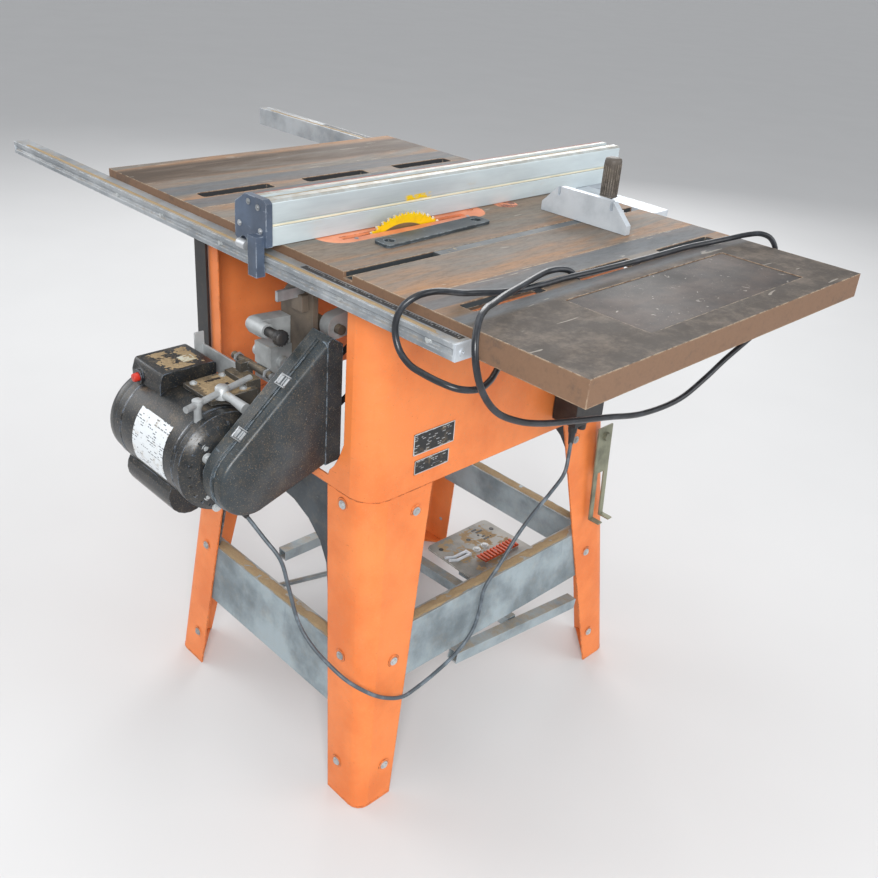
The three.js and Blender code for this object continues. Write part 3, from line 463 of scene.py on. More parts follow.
LOOKS = {
    "orange": lambda s: coated("orange_enamel", s.orange, rgb("DA7336"), 0.42, 0, 0.28, rgb("7A3D1C"),
                               speck=0.065),
    "iron": lambda s: cast_iron("ground_cast_iron"),
    "inset": lambda s: dark_panel("dark_inset_plate"),
    "rough_iron": lambda s: coated("rough_casting", rgb("6A5F54"), rgb("423C37"), 0.6, 0.1, 0.5, grain=260),
    "charcoal": lambda s: coated("charcoal_enamel", s.charcoal, rgb("2A2F34"), 0.5, 0, 0.6, rgb("8A8F94"),
                                 speck=0.02),
    "blue_steel": lambda s: coated("blued_steel", rgb("9CA9AF"), rgb("6A757B"), 0.5, 0.1, 0.75, rgb("A5ADB2"),
                                   speck=0.06),
    "pedal": lambda s: coated("pedal_plate", rgb("A2A29C"), rgb("72736F"), 0.5, 0.1, 0.3, rgb("C0C0BC"),
                              speck=0.06),
    "rail": lambda s: coated("rail_enamel", rgb("A2A7AB"), rgb("757B80"), 0.42, 0.15, 0.5, rgb("C9CDD0"),
                             speck=0.04),
    "black": lambda s: coated("black_enamel", s.black, rgb("23282C"), 0.28, 0, 0.34, rgb("6E7A88"),
                              speck=0.085),
    # The guard's light blue-grey edge colour is worn paint and a painted highlight on its rounded edges.
    "guard": lambda s: coated("guard_enamel", rgb("1F272B"), rgb("3A4348"), 0.34, 0, 0.34, rgb("8FA0AE"),
                              speck=0.085),
    "plastic": lambda s: coated("black_plastic", rgb("1A1B1D"), rgb("2E2E30"), 0.45, 0, 0.2),
    "mount": lambda s: coated("mount_plate", rgb("45423D"), rgb("2B2925"), 0.6, 0, 0.7, rgb("8A8D8F"),
                              speck=0.05),
    "red": lambda s: coated("red_plastic", s.red, rgb("8E1F14"), 0.3, 0, 0.05),
    "ribbed": lambda s: coated("pedal_orange", rgb("D4552B"), rgb("8C3B22"), 0.5, 0, 0.2),
    "slate": lambda s: coated("slate_enamel", s.slate, rgb("3D4858"), 0.45, 0, 0.15, rgb("A3ADB8")),
    "wrench": lambda s: coated("wrench_steel", rgb("4A545A"), rgb("31383D"), 0.4, 0.3, 0.15, rgb("98A1A8")),
    "salmon": lambda s: coated("insert_enamel", s.salmon, rgb("C9744E"), 0.4, 0, 0.12, rgb("7C4A38")),
    "grip": lambda s: coated("brown_grip", rgb("5F574F"), rgb("38332E"), 0.5, 0, 0.3, rgb("8C8378")),
    "zinc": lambda s: metal("zinc_plate", rgb("C5C9CA"), rgb("8D9091"), 0.4, dust=0.3, level=0.35),
    "olive_zinc": lambda s: metal("old_galvanised", rgb("93947F"), rgb("57574A"), 0.5, dust=0.2, level=0.35),
    "steel": lambda s: metal("turned_steel", rgb("C0C3C6"), rgb("85888A"), 0.3, dust=0.2, level=0.6),
    "slot_steel": lambda s: metal("bar_steel", rgb("5D6163"), rgb("3A3E40"), 0.45, (1, 0.05, 1), 0.2, 0.3),
    "alloy": lambda s: metal("cast_alloy", rgb("CED4DA"), rgb("A8B0B7"), 0.36, dust=0.12, level=0.25),
    "dull_alloy": lambda s: metal("dusty_alloy", rgb("A6A79F"), rgb("77756B"), 0.5, (0.05, 1, 1), 0.5, 0.3),
    # Pale cream for the fence groove's lip: a painted highlight along the lip.
    "lip_highlight": lambda s: metal("groove_lip", rgb("E9E3CB"), rgb("CFC8AE"), 0.4, (1, 0.03, 1), 0.1, 0.1),
    "fence": lambda s: alloy_fence("anodised_fence"),
    "blade": lambda s: blade_look("coated_blade"),
    "tips": lambda s: metal("tooth_tips", rgb("EDEADC"), rgb("BDB69F"), 0.3, dust=0.0, level=0.3),
    "mains": lambda s: rubber_cord("mains_rubber", rgb("1B1E23"), 0.3),
    "grey_cord": lambda s: rubber_cord("motor_cord_rubber", rgb("4A535A"), 0.4),
    "belt": lambda s: rubber_cord("belt_rubber", rgb("1A1A1B"), 0.7),
    "motor_label": lambda s: printed("motor_label", rgb("DCE1E4"), rgb("5C6268"), 0.0036, ("X", "Z")),
    "data_plate": lambda s: printed("data_plate", rgb("17191C"), rgb("9C9FA1"), 0.0034),
    "paper": lambda s: coated("paper_sticker", rgb("C9CCC4"), rgb("B79B3C"), 0.7, 0, 0.3),
    "dust": lambda s: loose_dust("loose_sawdust"),
    "ink": lambda s: coated("scale_ink", rgb("1D2023"), rgb("33363A"), 0.5, 0, 0.25),
    "marks": lambda s: coated("scale_marks", rgb("C9CCCD"), rgb("9EA2A4"), 0.5, 0, 0.2),
    "red_line": lambda s: coated("red_line", rgb("B0564A"), rgb("84564C"), 0.6, 0, 0.3),
}
MADE = {}


def finish_of(name):
    """One of LOOKS, made the first time it is asked for."""
    if name not in MADE:
        MADE[name] = LOOKS[name](shades())
    return MADE[name]


# ---------------------------------------------------------------- shapes
class Solid:
    """A mesh in millimetres from the middle of the table's top, built from closed shapes."""

    def __init__(self):
        self.mesh = bmesh.new()

    def loft(self, rings, closed_ends=True):
        """Joins rings of points by quads, and caps the ends."""
        made = [[self.mesh.verts.new(p) for p in ring] for ring in rings]
        n = len(made[0])
        for a, b in zip(made, made[1:]):
            for k in range(n):
                self.mesh.faces.new((a[k], a[(k + 1) % n], b[(k + 1) % n], b[k]))
        if closed_ends:
            self.mesh.faces.new(made[0][::-1])
            self.mesh.faces.new(made[-1])
        return self

    def box(self, x0, x1, y0, y1, z0, z1):
        low = [(x0, y0, z0), (x1, y0, z0), (x1, y1, z0), (x0, y1, z0)]
        return self.loft([low, [(x, y, z1) for x, y, _ in low]])

    def sweep(self, path, radius, sides=12):
        """A round bar along points; radius is one number or one for each point."""
        path = [Vector(p) for p in path]
        radii = radius if hasattr(radius, "__len__") else [radius] * len(path)
        heading = [(path[min(k + 1, len(path) - 1)] - path[max(k - 1, 0)]).normalized()
                   for k in range(len(path))]
        side = heading[0].orthogonal().normalized()
        rings = []
        for p, d, r in zip(path, heading, radii):
            side = (side - d * side.dot(d)).normalized()
            other = d.cross(side)
            turns = [2 * math.pi * k / sides for k in range(sides)]
            rings.append([p + side * r * math.cos(a) + other * r * math.sin(a) for a in turns])
        return self.loft(rings)

    def turn(self, centre, axis, profile, sides=40):
        """A turned shape: the profile holds (distance along the axis, radius), from one end to the other."""
        axis = Vector(axis).normalized()
        side = axis.orthogonal().normalized()
        other, centre = axis.cross(side), Vector(centre)
        turns = [2 * math.pi * k / sides for k in range(sides)]
        return self.loft([[centre + axis * d + (side * math.cos(a) + other * math.sin(a)) * max(r, 0.01)
                           for a in turns] for d, r in profile])

    def ring(self, centre, axis, radius, thick, sides=56, section=12):
        """A torus, such as a wheel's rim."""
        axis = Vector(axis).normalized()
        side = axis.orthogonal().normalized()
        other, centre = axis.cross(side), Vector(centre)
        rings = []
        for k in range(sides):
            out = side * math.cos(2 * math.pi * k / sides) + other * math.sin(2 * math.pi * k / sides)
            turns = [2 * math.pi * j / section for j in range(section)]
            rings.append([centre + out * (radius + thick * math.cos(a)) + axis * thick * math.sin(a)
                          for a in turns])
        return self.loft(rings + [rings[0]], closed_ends=False)

    def plate(self, outline, depth):
        """An outline of points, pushed along a vector."""
        outline, depth = [Vector(p) for p in outline], Vector(depth)
        return self.loft([outline, [p + depth for p in outline]])

    def object(self, name, look, body, slot=None, edge=0.0, split=35, stands_for=()):
        """Makes the piece, with its place in its mesh, and rides it on its body."""
        bmesh.ops.remove_doubles(self.mesh, verts=self.mesh.verts, dist=1e-4)
        bmesh.ops.recalc_face_normals(self.mesh, faces=self.mesh.faces)
        for v in self.mesh.verts:
            v.co = at(*v.co)
        data = bpy.data.meshes.new(name)
        self.mesh.to_mesh(data)
        self.mesh.free()
        return settle(data, name, look, body, edge, split, stands_for)


def settle(data, name, look, body, edge=0.0, split=35, stands_for=()):
    """Gives a mesh its finish, its rounded edges and its body."""
    made = bpy.data.objects.new(name, data)
    bpy.context.scene.collection.objects.link(made)
    data.materials.clear()
    data.materials.append(finish_of(look))
    data.shade_smooth()
    data.set_sharp_from_angle(angle=math.radians(split))
    if edge:
        bevel = made.modifiers.new("rounded_edges", "BEVEL")
        bevel.width, bevel.segments, bevel.limit_method = edge / 1000, 2, "ANGLE"
        bevel.angle_limit, bevel.harden_normals = math.radians(split), True
    if body:
        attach(made, body)
    if stands_for:
        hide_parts(*stands_for)
    return made


def dressed(node, name, look, edge=None, split=32, rides=True):
    """A CAD node's shape with merged faces, rounded edges and a finish, in the node's place."""
    shape = bmesh.new()
    shape.from_mesh(NODES[node].data)
    bmesh.ops.remove_doubles(shape, verts=shape.verts, dist=2e-6)
    bmesh.ops.dissolve_limit(shape, angle_limit=math.radians(0.4), verts=shape.verts, edges=shape.edges)
    data = bpy.data.meshes.new(name)
    shape.to_mesh(data)
    shape.free()
    width = sizes().edge * 1000 if edge is None else edge
    return settle(data, name, look, BODY_OF[node] if rides else None, width, split, (node,))


def painted_node(node, look):
    """A CAD node that stays as it is, with a finish."""
    NODES[node].data.materials.clear()
    NODES[node].data.materials.append(finish_of(look))


# ---------------------------------------------------------------- repeats by geometry nodes
def tree_with(name, inputs):
    """An empty geometry tree with geometry in and out and the named inputs."""
    tree = bpy.data.node_groups.new(name, "GeometryNodeTree")
    tree.interface.new_socket("Geometry", in_out="INPUT", socket_type="NodeSocketGeometry")
    for label, kind in inputs:
        tree.interface.new_socket(label, in_out="INPUT", socket_type=kind)
    tree.interface.new_socket("Geometry", in_out="OUTPUT", socket_type="NodeSocketGeometry")
    return tree, tree.nodes.new("NodeGroupInput"), tree.nodes.new("NodeGroupOutput")


def bolt_tree():
    """A hexagon head on a washer at every point, turned to the point's facing."""
    inputs = [("Head Radius", "NodeSocketFloat"), ("Material", "NodeSocketMaterial")]
    tree, given, result = tree_with("bolt_heads", inputs)
    link, add = tree.links.new, tree.nodes.new

    def part(sides, ratio, depth):
        shape = add("GeometryNodeMeshCylinder")
        shape.inputs["Vertices"].default_value = sides
        for socket, share in (("Radius", ratio), ("Depth", depth)):
            scaled = add("ShaderNodeMath")
            scaled.operation = "MULTIPLY"
            scaled.inputs[1].default_value = share
            link(given.outputs["Head Radius"], scaled.inputs[0])
            link(scaled.outputs[0], shape.inputs[socket])
        return shape.outputs["Mesh"]

    join = add("GeometryNodeJoinGeometry")
    for sides, ratio, depth in ((20, 1.55, 0.5), (6, 1.0, 1.5), (12, 0.66, 1.7)):
        link(part(sides, ratio, depth), join.inputs[0])
    facing = add("GeometryNodeInputNamedAttribute")
    facing.data_type = "FLOAT_VECTOR"
    facing.inputs["Name"].default_value = "facing"
    turn = add("FunctionNodeAlignRotationToVector")
    link(facing.outputs["Attribute"], turn.inputs["Vector"])
    copies = add("GeometryNodeInstanceOnPoints")
    link(given.outputs["Geometry"], copies.inputs["Points"])
    link(join.outputs[0], copies.inputs["Instance"])
    link(turn.outputs[0], copies.inputs["Rotation"])
    real, paint = add("GeometryNodeRealizeInstances"), add("GeometryNodeSetMaterial")
    link(copies.outputs[0], real.inputs[0])
    link(real.outputs[0], paint.inputs["Geometry"])
    link(given.outputs["Material"], paint.inputs["Material"])
    link(paint.outputs[0], result.inputs[0])
    return tree


def row_tree():
    """A block repeated in a straight row."""
    inputs = [("Start", "NodeSocketVector"), ("Step", "NodeSocketVector"), ("Count", "NodeSocketInt")]
    inputs += [("Size", "NodeSocketVector"), ("Material", "NodeSocketMaterial")]
    tree, given, result = tree_with("row_of_blocks", inputs)
    link, add = tree.links.new, tree.nodes.new
    line, cube = add("GeometryNodeMeshLine"), add("GeometryNodeMeshCube")
    line.mode = "OFFSET"
    link(given.outputs["Start"], line.inputs["Start Location"])
    link(given.outputs["Step"], line.inputs["Offset"])
    link(given.outputs["Count"], line.inputs["Count"])
    link(given.outputs["Size"], cube.inputs["Size"])
    copies = add("GeometryNodeInstanceOnPoints")
    link(line.outputs[0], copies.inputs["Points"])
    link(cube.outputs["Mesh"], copies.inputs["Instance"])
    real, paint = add("GeometryNodeRealizeInstances"), add("GeometryNodeSetMaterial")
    link(copies.outputs[0], real.inputs[0])
    link(real.outputs[0], paint.inputs["Geometry"])
    link(given.outputs["Material"], paint.inputs["Material"])
    link(paint.outputs[0], result.inputs[0])
    return tree


def ring_tree():
    """A block repeated round the X, Y or Z axis of a centre, each turned to face outwards."""
    inputs = [("Centre", "NodeSocketVector"), ("Turn", "NodeSocketRotation"), ("Radius", "NodeSocketFloat")]
    inputs += [("Count", "NodeSocketInt"), ("Size", "NodeSocketVector"), ("Material", "NodeSocketMaterial")]
    tree, given, result = tree_with("ring_of_blocks", inputs)
    link, add = tree.links.new, tree.nodes.new
    circle, cube = add("GeometryNodeMeshCircle"), add("GeometryNodeMeshCube")
    place = add("GeometryNodeInputPosition")
    link(given.outputs["Count"], circle.inputs["Vertices"])
    link(given.outputs["Radius"], circle.inputs["Radius"])
    link(given.outputs["Size"], cube.inputs["Size"])
    outwards = add("FunctionNodeAlignRotationToVector")
    outwards.axis = "X"
    link(place.outputs[0], outwards.inputs["Vector"])
    copies = add("GeometryNodeInstanceOnPoints")
    link(circle.outputs["Mesh"], copies.inputs["Points"])
    link(cube.outputs["Mesh"], copies.inputs["Instance"])
    link(outwards.outputs[0], copies.inputs["Rotation"])
    real, move, paint = (add(f"GeometryNode{n}") for n in ("RealizeInstances", "Transform", "SetMaterial"))
    link(copies.outputs[0], real.inputs[0])
    link(real.outputs[0], move.inputs["Geometry"])
    link(given.outputs["Centre"], move.inputs["Translation"])
    link(given.outputs["Turn"], move.inputs["Rotation"])
    link(move.outputs[0], paint.inputs["Geometry"])
    link(given.outputs["Material"], paint.inputs["Material"])
    link(paint.outputs[0], result.inputs[0])
    return tree


TREES = {}


def grown(name, tree_maker, look, body, values, points=()):
    """Runs a tree on some points and keeps the result as a plain mesh riding on a body."""
    if tree_maker not in TREES:
        TREES[tree_maker] = tree_maker()
    tree = TREES[tree_maker]
    seed = bpy.data.meshes.new(name + "_points")
    seed.from_pydata([at(*p) for p, _ in points], [], [])
    if points:
        facing = seed.attributes.new("facing", "FLOAT_VECTOR", "POINT")
        facing.data.foreach_set("vector", [c for _, d in points for c in Vector(d).normalized()])
    holder = bpy.data.objects.new(name + "_holder", seed)
    bpy.context.scene.collection.objects.link(holder)
    modifier = holder.modifiers.new("repeat", "NODES")
    modifier.node_group = tree
    for item in tree.interface.items_tree:
        if item.in_out == "INPUT" and item.name in {**values, "Material": 0}:
            modifier[item.identifier] = finish_of(look) if item.name == "Material" else values[item.name]
    result = bpy.data.meshes.new_from_object(holder.evaluated_get(bpy.context.evaluated_depsgraph_get()))
    result.name = name
    bpy.data.objects.remove(holder)
    return settle(result, name, look, body, split=40)


def bolts(name, points, body, look="zinc", radius=None):
    """Bolt heads at (point, facing) pairs; radius is in millimetres."""
    return grown(name, bolt_tree, look, body,
                 {"Head Radius": radius / 1000 if radius else sizes().bolt_head}, points)


def row(name, start, step, count, size, look, body):
    """A straight row of blocks."""
    values = {"Start": at(*start), "Step": Vector(step) / 1000, "Count": count, "Size": Vector(size) / 1000}
    return grown(name, row_tree, look, body, values)


def ring_of(name, centre, axis, radius, count, size, look, body):
    """Blocks set round an axis."""
    turn = Z.rotation_difference(axis).to_euler()
    values = {"Centre": at(*centre), "Turn": turn, "Radius": radius / 1000, "Count": count,
              "Size": Vector(size) / 1000}
    return grown(name, ring_tree, look, body, values)


# ---------------------------------------------------------------- cords
MOTOR_ROUTE = [
    (2, 452, -409), (-13, 442, -429), (-42, 430, -460), (-74, 420, -490), (-84, 411, -543), (-102, 402, -615),
    (-132, 397, -645), (-167, 390, -664), (-203, 377, -684), (-229, 350, -708), (-233, 312, -738),
    (-234, 274, -756), (-234, 240, -754), (-234, 200, -746), (-233, 160, -735), (-233, 128, -718),
    (-233, 104, -692), (-233, 93, -655), (-233, 86, -610), (-233, 52, -574), (-234, 14, -527),
    (-234, -26, -493), (-234, -70, -464), (-233, -104, -436), (-225, -120, -402), (-222, -124, -362.5),
]
MAINS_ROUTE = [
    (-215, -150, -263), (-215, -152, -238), (-220, -161, -208), (-240, -180, -182), (-275, -212, -162),
    (-314, -248, -138), (-348, -284, -106), (-376, -316, -72), (-398, -333, -52), (-425, -337, -46.5),
    (-452, -332, -49), (-470, -314, -60), (-474, -288, -80), (-467, -258, -104), (-458, -225, -128),
    (-452, -186, -149), (-450, -139, -170), (-450, -73, -188), (-450, 29, -184), (-450, 119, -163),
    (-450, 209, -142), (-450, 272, -126), (-450, 320, -108), (-449, 364, -82), (-447, 391, -48),
    (-443, 402, -14), (-434, 398, 16), (-419, 378, 33), (-400, 347, 34), (-378, 309, 26), (-355, 262, 20),
    (-334, 200, 17), (-319, 154, 15.5), (-311, 122, 14.5), (-313, 97, 14), (-317, 78, 8.9), (-320, 66.5, -1),
    (-322, 60.3, -14.2), (-322.5, 59.6, -30), (-322.5, 66.5, -46.5), (-323, 81, -58), (-325, 104, -64),
    (-334, 155, -67), (-352, 220, -68), (-378, 284, -68), (-402, 328, -68), (-413, 362, -66),
    (-405, 389, -61), (-384, 402, -56), (-356, 404.5, -54), (-332, 403.5, -52), (-311, 402.5, -41),
    (-300, 402, -22), (-299, 401, -2), (-304, 395, 17), (-311, 379, 29), (-314, 356, 31), (-311, 331, 26),
    (-305, 306, 18), (-301, 281, 10.5), (-304, 256, 7), (-314, 229, 5.2), (-323, 198, 5.2), (-327, 155, 5.2),
    (-327, 100, 5.2), (-331, 46, 5.2), (-335, -37, 5.2), (-337, -123, 5.2), (-338, -200, 5.2),
    (-345, -262, 5.4), (-357, -300, 9.5), (-371, -324, 15), (-384, -343, 17), (-395, -358, 11),
    (-402, -368, -3), (-406, -372.5, -22), (-409, -374, -50), (-412, -374, -84),
]


def smooth_route(points, steps=6):
    """A centripetal curve through the points."""
    p = [Vector(q) for q in points]
    p = [2 * p[0] - p[1], *p, 2 * p[-1] - p[-2]]
    out = []
    for a, b, c, d in zip(p, p[1:], p[2:], p[3:]):
        ta, tb, tc = ((v - u).length ** 0.5 for u, v in ((a, b), (b, c), (c, d)))
        start = ((b - a) / ta - (c - a) / (ta + tb) + (c - b) / tb) * tb
        end = ((c - b) / tb - (d - b) / (tb + tc) + (d - c) / tc) * tb
        for k in range(steps):
            t = k / steps
            cubic = 2 * b - 2 * c + start + end
            out.append(b + start * t + (3 * c - 3 * b - 2 * start - end) * t * t + cubic * t * t * t)
    return [*out, p[-2]]


def make_cords():
    routes = {"motor": smooth_route(MOTOR_ROUTE), "mains": smooth_route(MAINS_ROUTE)}
    relief = Solid()
    relief.turn((-222, -124, -352), -Z, [(0, 8.5), (3, 8.8), (6, 7.2), (12, 6.6), (24, 5.4), (34, 4.6)], 24)
    clamp = relief.object("motor_cord_relief", "plastic", "stand", "black_plastic", split=50)
    exit_relief = Solid()
    away = Vector(MOTOR_ROUTE[1]) - Vector(MOTOR_ROUTE[0])
    start = Vector(MOTOR_ROUTE[0]) - away.normalized() * 8
    exit_relief.turn(start, away, [(0, 9), (5, 9), (8, 7), (24, 5.6), (36, 4.4)], 24)
    boot = exit_relief.object("motor_lead_boot", "plastic", "tilt_carriage", "black_plastic", split=50)
    tube = Solid()
    diameter = sizes().motor_cord
    tube.sweep(routes["motor"], diameter * 500, 14)
    lead = tube.mesh
    bmesh.ops.recalc_face_normals(lead, faces=lead.faces)
    for v in lead.verts:
        v.co = at(*v.co)
    data = bpy.data.meshes.new("motor_lead")
    lead.to_mesh(data)
    lead.free()
    data.materials.append(finish_of("grey_cord"))
    data.shade_smooth()
    lead = bpy.data.objects.new("motor_lead", data)
    bpy.context.scene.collection.objects.link(lead)
    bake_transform(lead)
    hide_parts("motor_cord")
    path = [at(*p) for p in routes["motor"]]

    mains_path = [at(*p) for p in routes["mains"]]
    diameter = sizes().mains_cord
    tube = Solid()
    tube.sweep(routes["mains"], diameter * 500, 16)
    mains = tube.object("mains_lead", "mains", "stand", "cord_rubber", split=80, stands_for=("mains_cord",))
    gland = Solid()
    gland.turn((-215, -150, -266), Z, [(0, 10), (4, 10.5), (7, 8), (14, 7.4), (30, 6), (42, 5)], 24)
    gland = gland.object("mains_cord_relief", "plastic", "stand", "black_plastic", split=50)
    plug = Solid()
    x, y, top = MAINS_ROUTE[-1][0], MAINS_ROUTE[-1][1], -84.5
    plug.turn((x, y, top), -Z, [(0, 5.2), (4, 6.4), (8, 5.6), (12, 7.2), (16, 6.4), (20, 8.6)], 24)
    outline = [(x + 15 * math.cos(a) * (1.18 if abs(math.cos(a)) > 0.7 else 1), y + 13.5 * math.sin(a), -98.5)
               for a in [2 * math.pi * k / 24 for k in range(24)]]
    plug.plate(outline, (0, 0, -27))
    plug = plug.object("mains_plug_body", "mains", "stand", "cord_rubber", 0.8, 40, ("mains_plug",))
    pins = Solid()
    pins.box(x - 12.2, x - 9.8, y - 3, y + 3, -145, -124).box(x + 9.8, x + 12.2, y - 3, y + 3, -145, -124)
    pins.turn((x, y - 9, -124), -Z, [(0, 2.4), (18, 2.4), (21, 1.6)], 16)
    pins = pins.object("mains_plug_pins", "steel", "stand", "bright_steel", 0.3)
    clip = Solid()
    clip.box(-433, -417, -341, -331, -41.5, -38.6)
    clip.ring((-425, -337, -46.5), X, 5.9, 1.1, 24, 6)
    clip = clip.object("cord_clip", "zinc", "stand", "zinc_plate", 0.2)


# ---------------------------------------------------------------- table, wings and rails
def make_table():
    for node, name in (("main_table", "main_table"), ("wing_left", "left_wing"),
                       ("wing_right", "right_wing")):
        dressed(node, name + "_casting", "iron", 1.0)
    painted_node("wing_inset_panel", "inset")
    dressed("throat_insert", "throat_insert_plate", "salmon", 0.6)
    screws = [((x, y, -0.4), Z) for x, y in ((-10, -22), (50, -22), (-10, 226), (50, 226))]
    bolts("insert_screws", screws, "stand", "steel", 2.4)
    patch = Solid()
    patch.turn((13, -142, 0.02), Z, [(0, 23), (0.3, 22.4)], 40)
    patch.object("table_paint_patch", "salmon", "stand", "insert_paint", split=50)
    beneath = [((side * 256, y, -24), -side * X) for side in (-1, 1) for y in (-270, -90, 90, 270)]
    bolts("wing_bolts", [((p[0] - d[0] * 8.5, p[1], p[2]), d * -1) for p, d in beneath], "stand")


def make_rails():
    for node in ("rear_rail", "front_rail"):
        low, high = span(node)
        dressed(node, node + "_bar", "rail", 0.7)
        dressed(node + "_cap", node + "_left_cap", "alloy", 0.9)
        outer = high.y if node == "rear_rail" else low.y
        cap = Solid()
        cap.box(high.x - 4.5, high.x - 0.2, low.y + 0.2, high.y - 0.2, low.z + 0.2, high.z - 0.2)
        cap.turn((high.x - 0.6, (low.y + high.y) / 2, (low.z + high.z) / 2), X, [(0, 5), (0.8, 4.4)], 20)
        cap.object(node + "_right_cap", "alloy", "stand", "aluminium", 0.6)
        strip = Solid()
        run = 330 if node == "rear_rail" else 900
        start = low.x + 6 if node == "rear_rail" else low.x + 300
        strip.box(start, start + run, low.y + 4, low.y + 15, high.z + 0.05, high.z + 0.35)
        strip.object(node + "_scale", "ink", "stand", "charcoal_paint")
        for label, step, depth in (("short", 5, 3.4), ("long", 25, 7)):
            row(f"{node}_{label}_marks", (start + 5, low.y + 5 + depth / 2, high.z + 0.42), (step, 0, 0),
                int((run - 10) / step), (0.7, depth, 0.15), "marks", "stand")
        sign = 1 if node == "rear_rail" else -1
        places = [((x, outer + sign * -3.8, (low.z + high.z) / 2), Y * sign)
                  for x in (-330, -150, 150, 330, 480)]
        bolts(node + "_bolts", places, "stand", radius=4)
        seed = 3 if node == "rear_rail" else 4
        heap(node + "_dust", low.x + 20, high.x - 20, low.y + 18, low.y + 27, high.z + 0.1, 1.1, 60, 5,
             "stand", seed)


def heap(name, x0, x1, y0, y1, z, high, nx, ny, body, seed, share=0.5):
    """Drifts of sawdust: an uneven sheet that dips under the surface where there is none.

    high is the drifts' height, nx and ny the sheet's cells, and share how much of the ground they cover.
    """
    shift = Vector((seed * 7.3, seed * 3.1, 0))
    tops, floor = [], []
    for j in range(ny + 1):
        for i in range(nx + 1):
            u, v = i / nx, j / ny
            x, y = x0 + (x1 - x0) * u, y0 + (y1 - y0) * v
            fade = min(1, 6 * u * (1 - u) * 4) * min(1, 4 * v * (1 - v) * 2)
            swells = noise.noise(Vector((x, y, 0)) * 0.045 + shift) * 0.5
            rough = swells + noise.noise(Vector((x, y, 5)) * 0.21 + shift) * 0.4
            tops.append((x, y, z + high * (fade * (share + 1.1 * rough) - 0.22)))
            floor.append((x, y, z - 0.3 * high - 0.1))
    solid = Solid()
    m = solid.mesh
    a, b = ([m.verts.new(p) for p in group] for group in (tops, floor))
    w = nx + 1
    for j in range(ny):
        for i in range(nx):
            k = j * w + i
            m.faces.new((a[k], a[k + 1], a[k + w + 1], a[k + w]))
            m.faces.new((b[k], b[k + w], b[k + w + 1], b[k + 1]))
    rim = list(range(w)) + [j * w + nx for j in range(1, ny + 1)]
    rim += [ny * w + i for i in range(nx - 1, -1, -1)] + [j * w for j in range(ny - 1, 0, -1)]
    for p, q in zip(rim, rim[1:] + rim[:1]):
        m.faces.new((a[p], b[p], b[q], a[q]))
    return solid.object(name, "dust", body, split=80)


# ---------------------------------------------------------------- cabinet and stand
def make_cabinet():
    dressed("cabinet", "cabinet_shell", "orange", 0.7)
    # The strip along the cabinet's rear corner is coloured near-black.
    painted_node("rear_corner_strip", "plastic")
    left = CABINET_LOW.x
    for name, y0, y1, z0, z1, look in (
        ("rating_plate", 147, 238, -310, -271.5, "data_plate"),
        ("serial_plate", 156, 233, -346.5, -321, "data_plate"),
    ):
        plate = Solid()
        plate.box(left - 0.9, left - 0.1, y0, y1, z0, z1)
        plate.object(name, look, "stand", "black_paint", 0.2)
        border = Solid()
        for box in ((y0, y1, z1 - 1.4, z1), (y0, y1, z0, z0 + 1.4), (y0, y0 + 1.4, z0, z1),
                    (y1 - 1.4, y1, z0, z1)):
            border.box(left - 1.15, left - 0.9, *box)
        border.object(name + "_border", "marks", "stand", "aluminium")
    scale = Solid()
    front = CABINET_LOW.y
    arc = [(60 + r * math.sin(a), front - 0.9, -190 + r * math.cos(a)) for r, turns in ((112, 1), (98, -1))
           for a in [math.radians(turns * t) for t in range(-48, 49, 6)]]
    scale.plate(arc, (0, 0.8, 0))
    scale.object("tilt_scale", "data_plate", "stand", "black_paint")
    seam = CABINET_LOW.z + 12
    places = [((CABINET_HIGH.x + 0.6, y, seam), X) for y in (-230, 262)]
    places += [((x, front - 0.6, seam), -Y) for x in (-120, 232)]
    bolts("cabinet_bolts", places, "stand")


def leg_face(sx, sy, z):
    """The leg's outer corner at a height: where its two faces would meet."""
    low, high = span(f"leg_{'rear' if sy > 0 else 'front'}_{'right' if sx > 0 else 'left'}")
    t = (CABINET_LOW.z - z) / (CABINET_LOW.z - low.z)
    top = (CABINET_HIGH.x if sx > 0 else CABINET_LOW.x, CABINET_HIGH.y if sy > 0 else CABINET_LOW.y)
    foot = (high.x if sx > 0 else low.x, high.y if sy > 0 else low.y)
    return [a + (b - a) * t for a, b in zip(top, foot)]


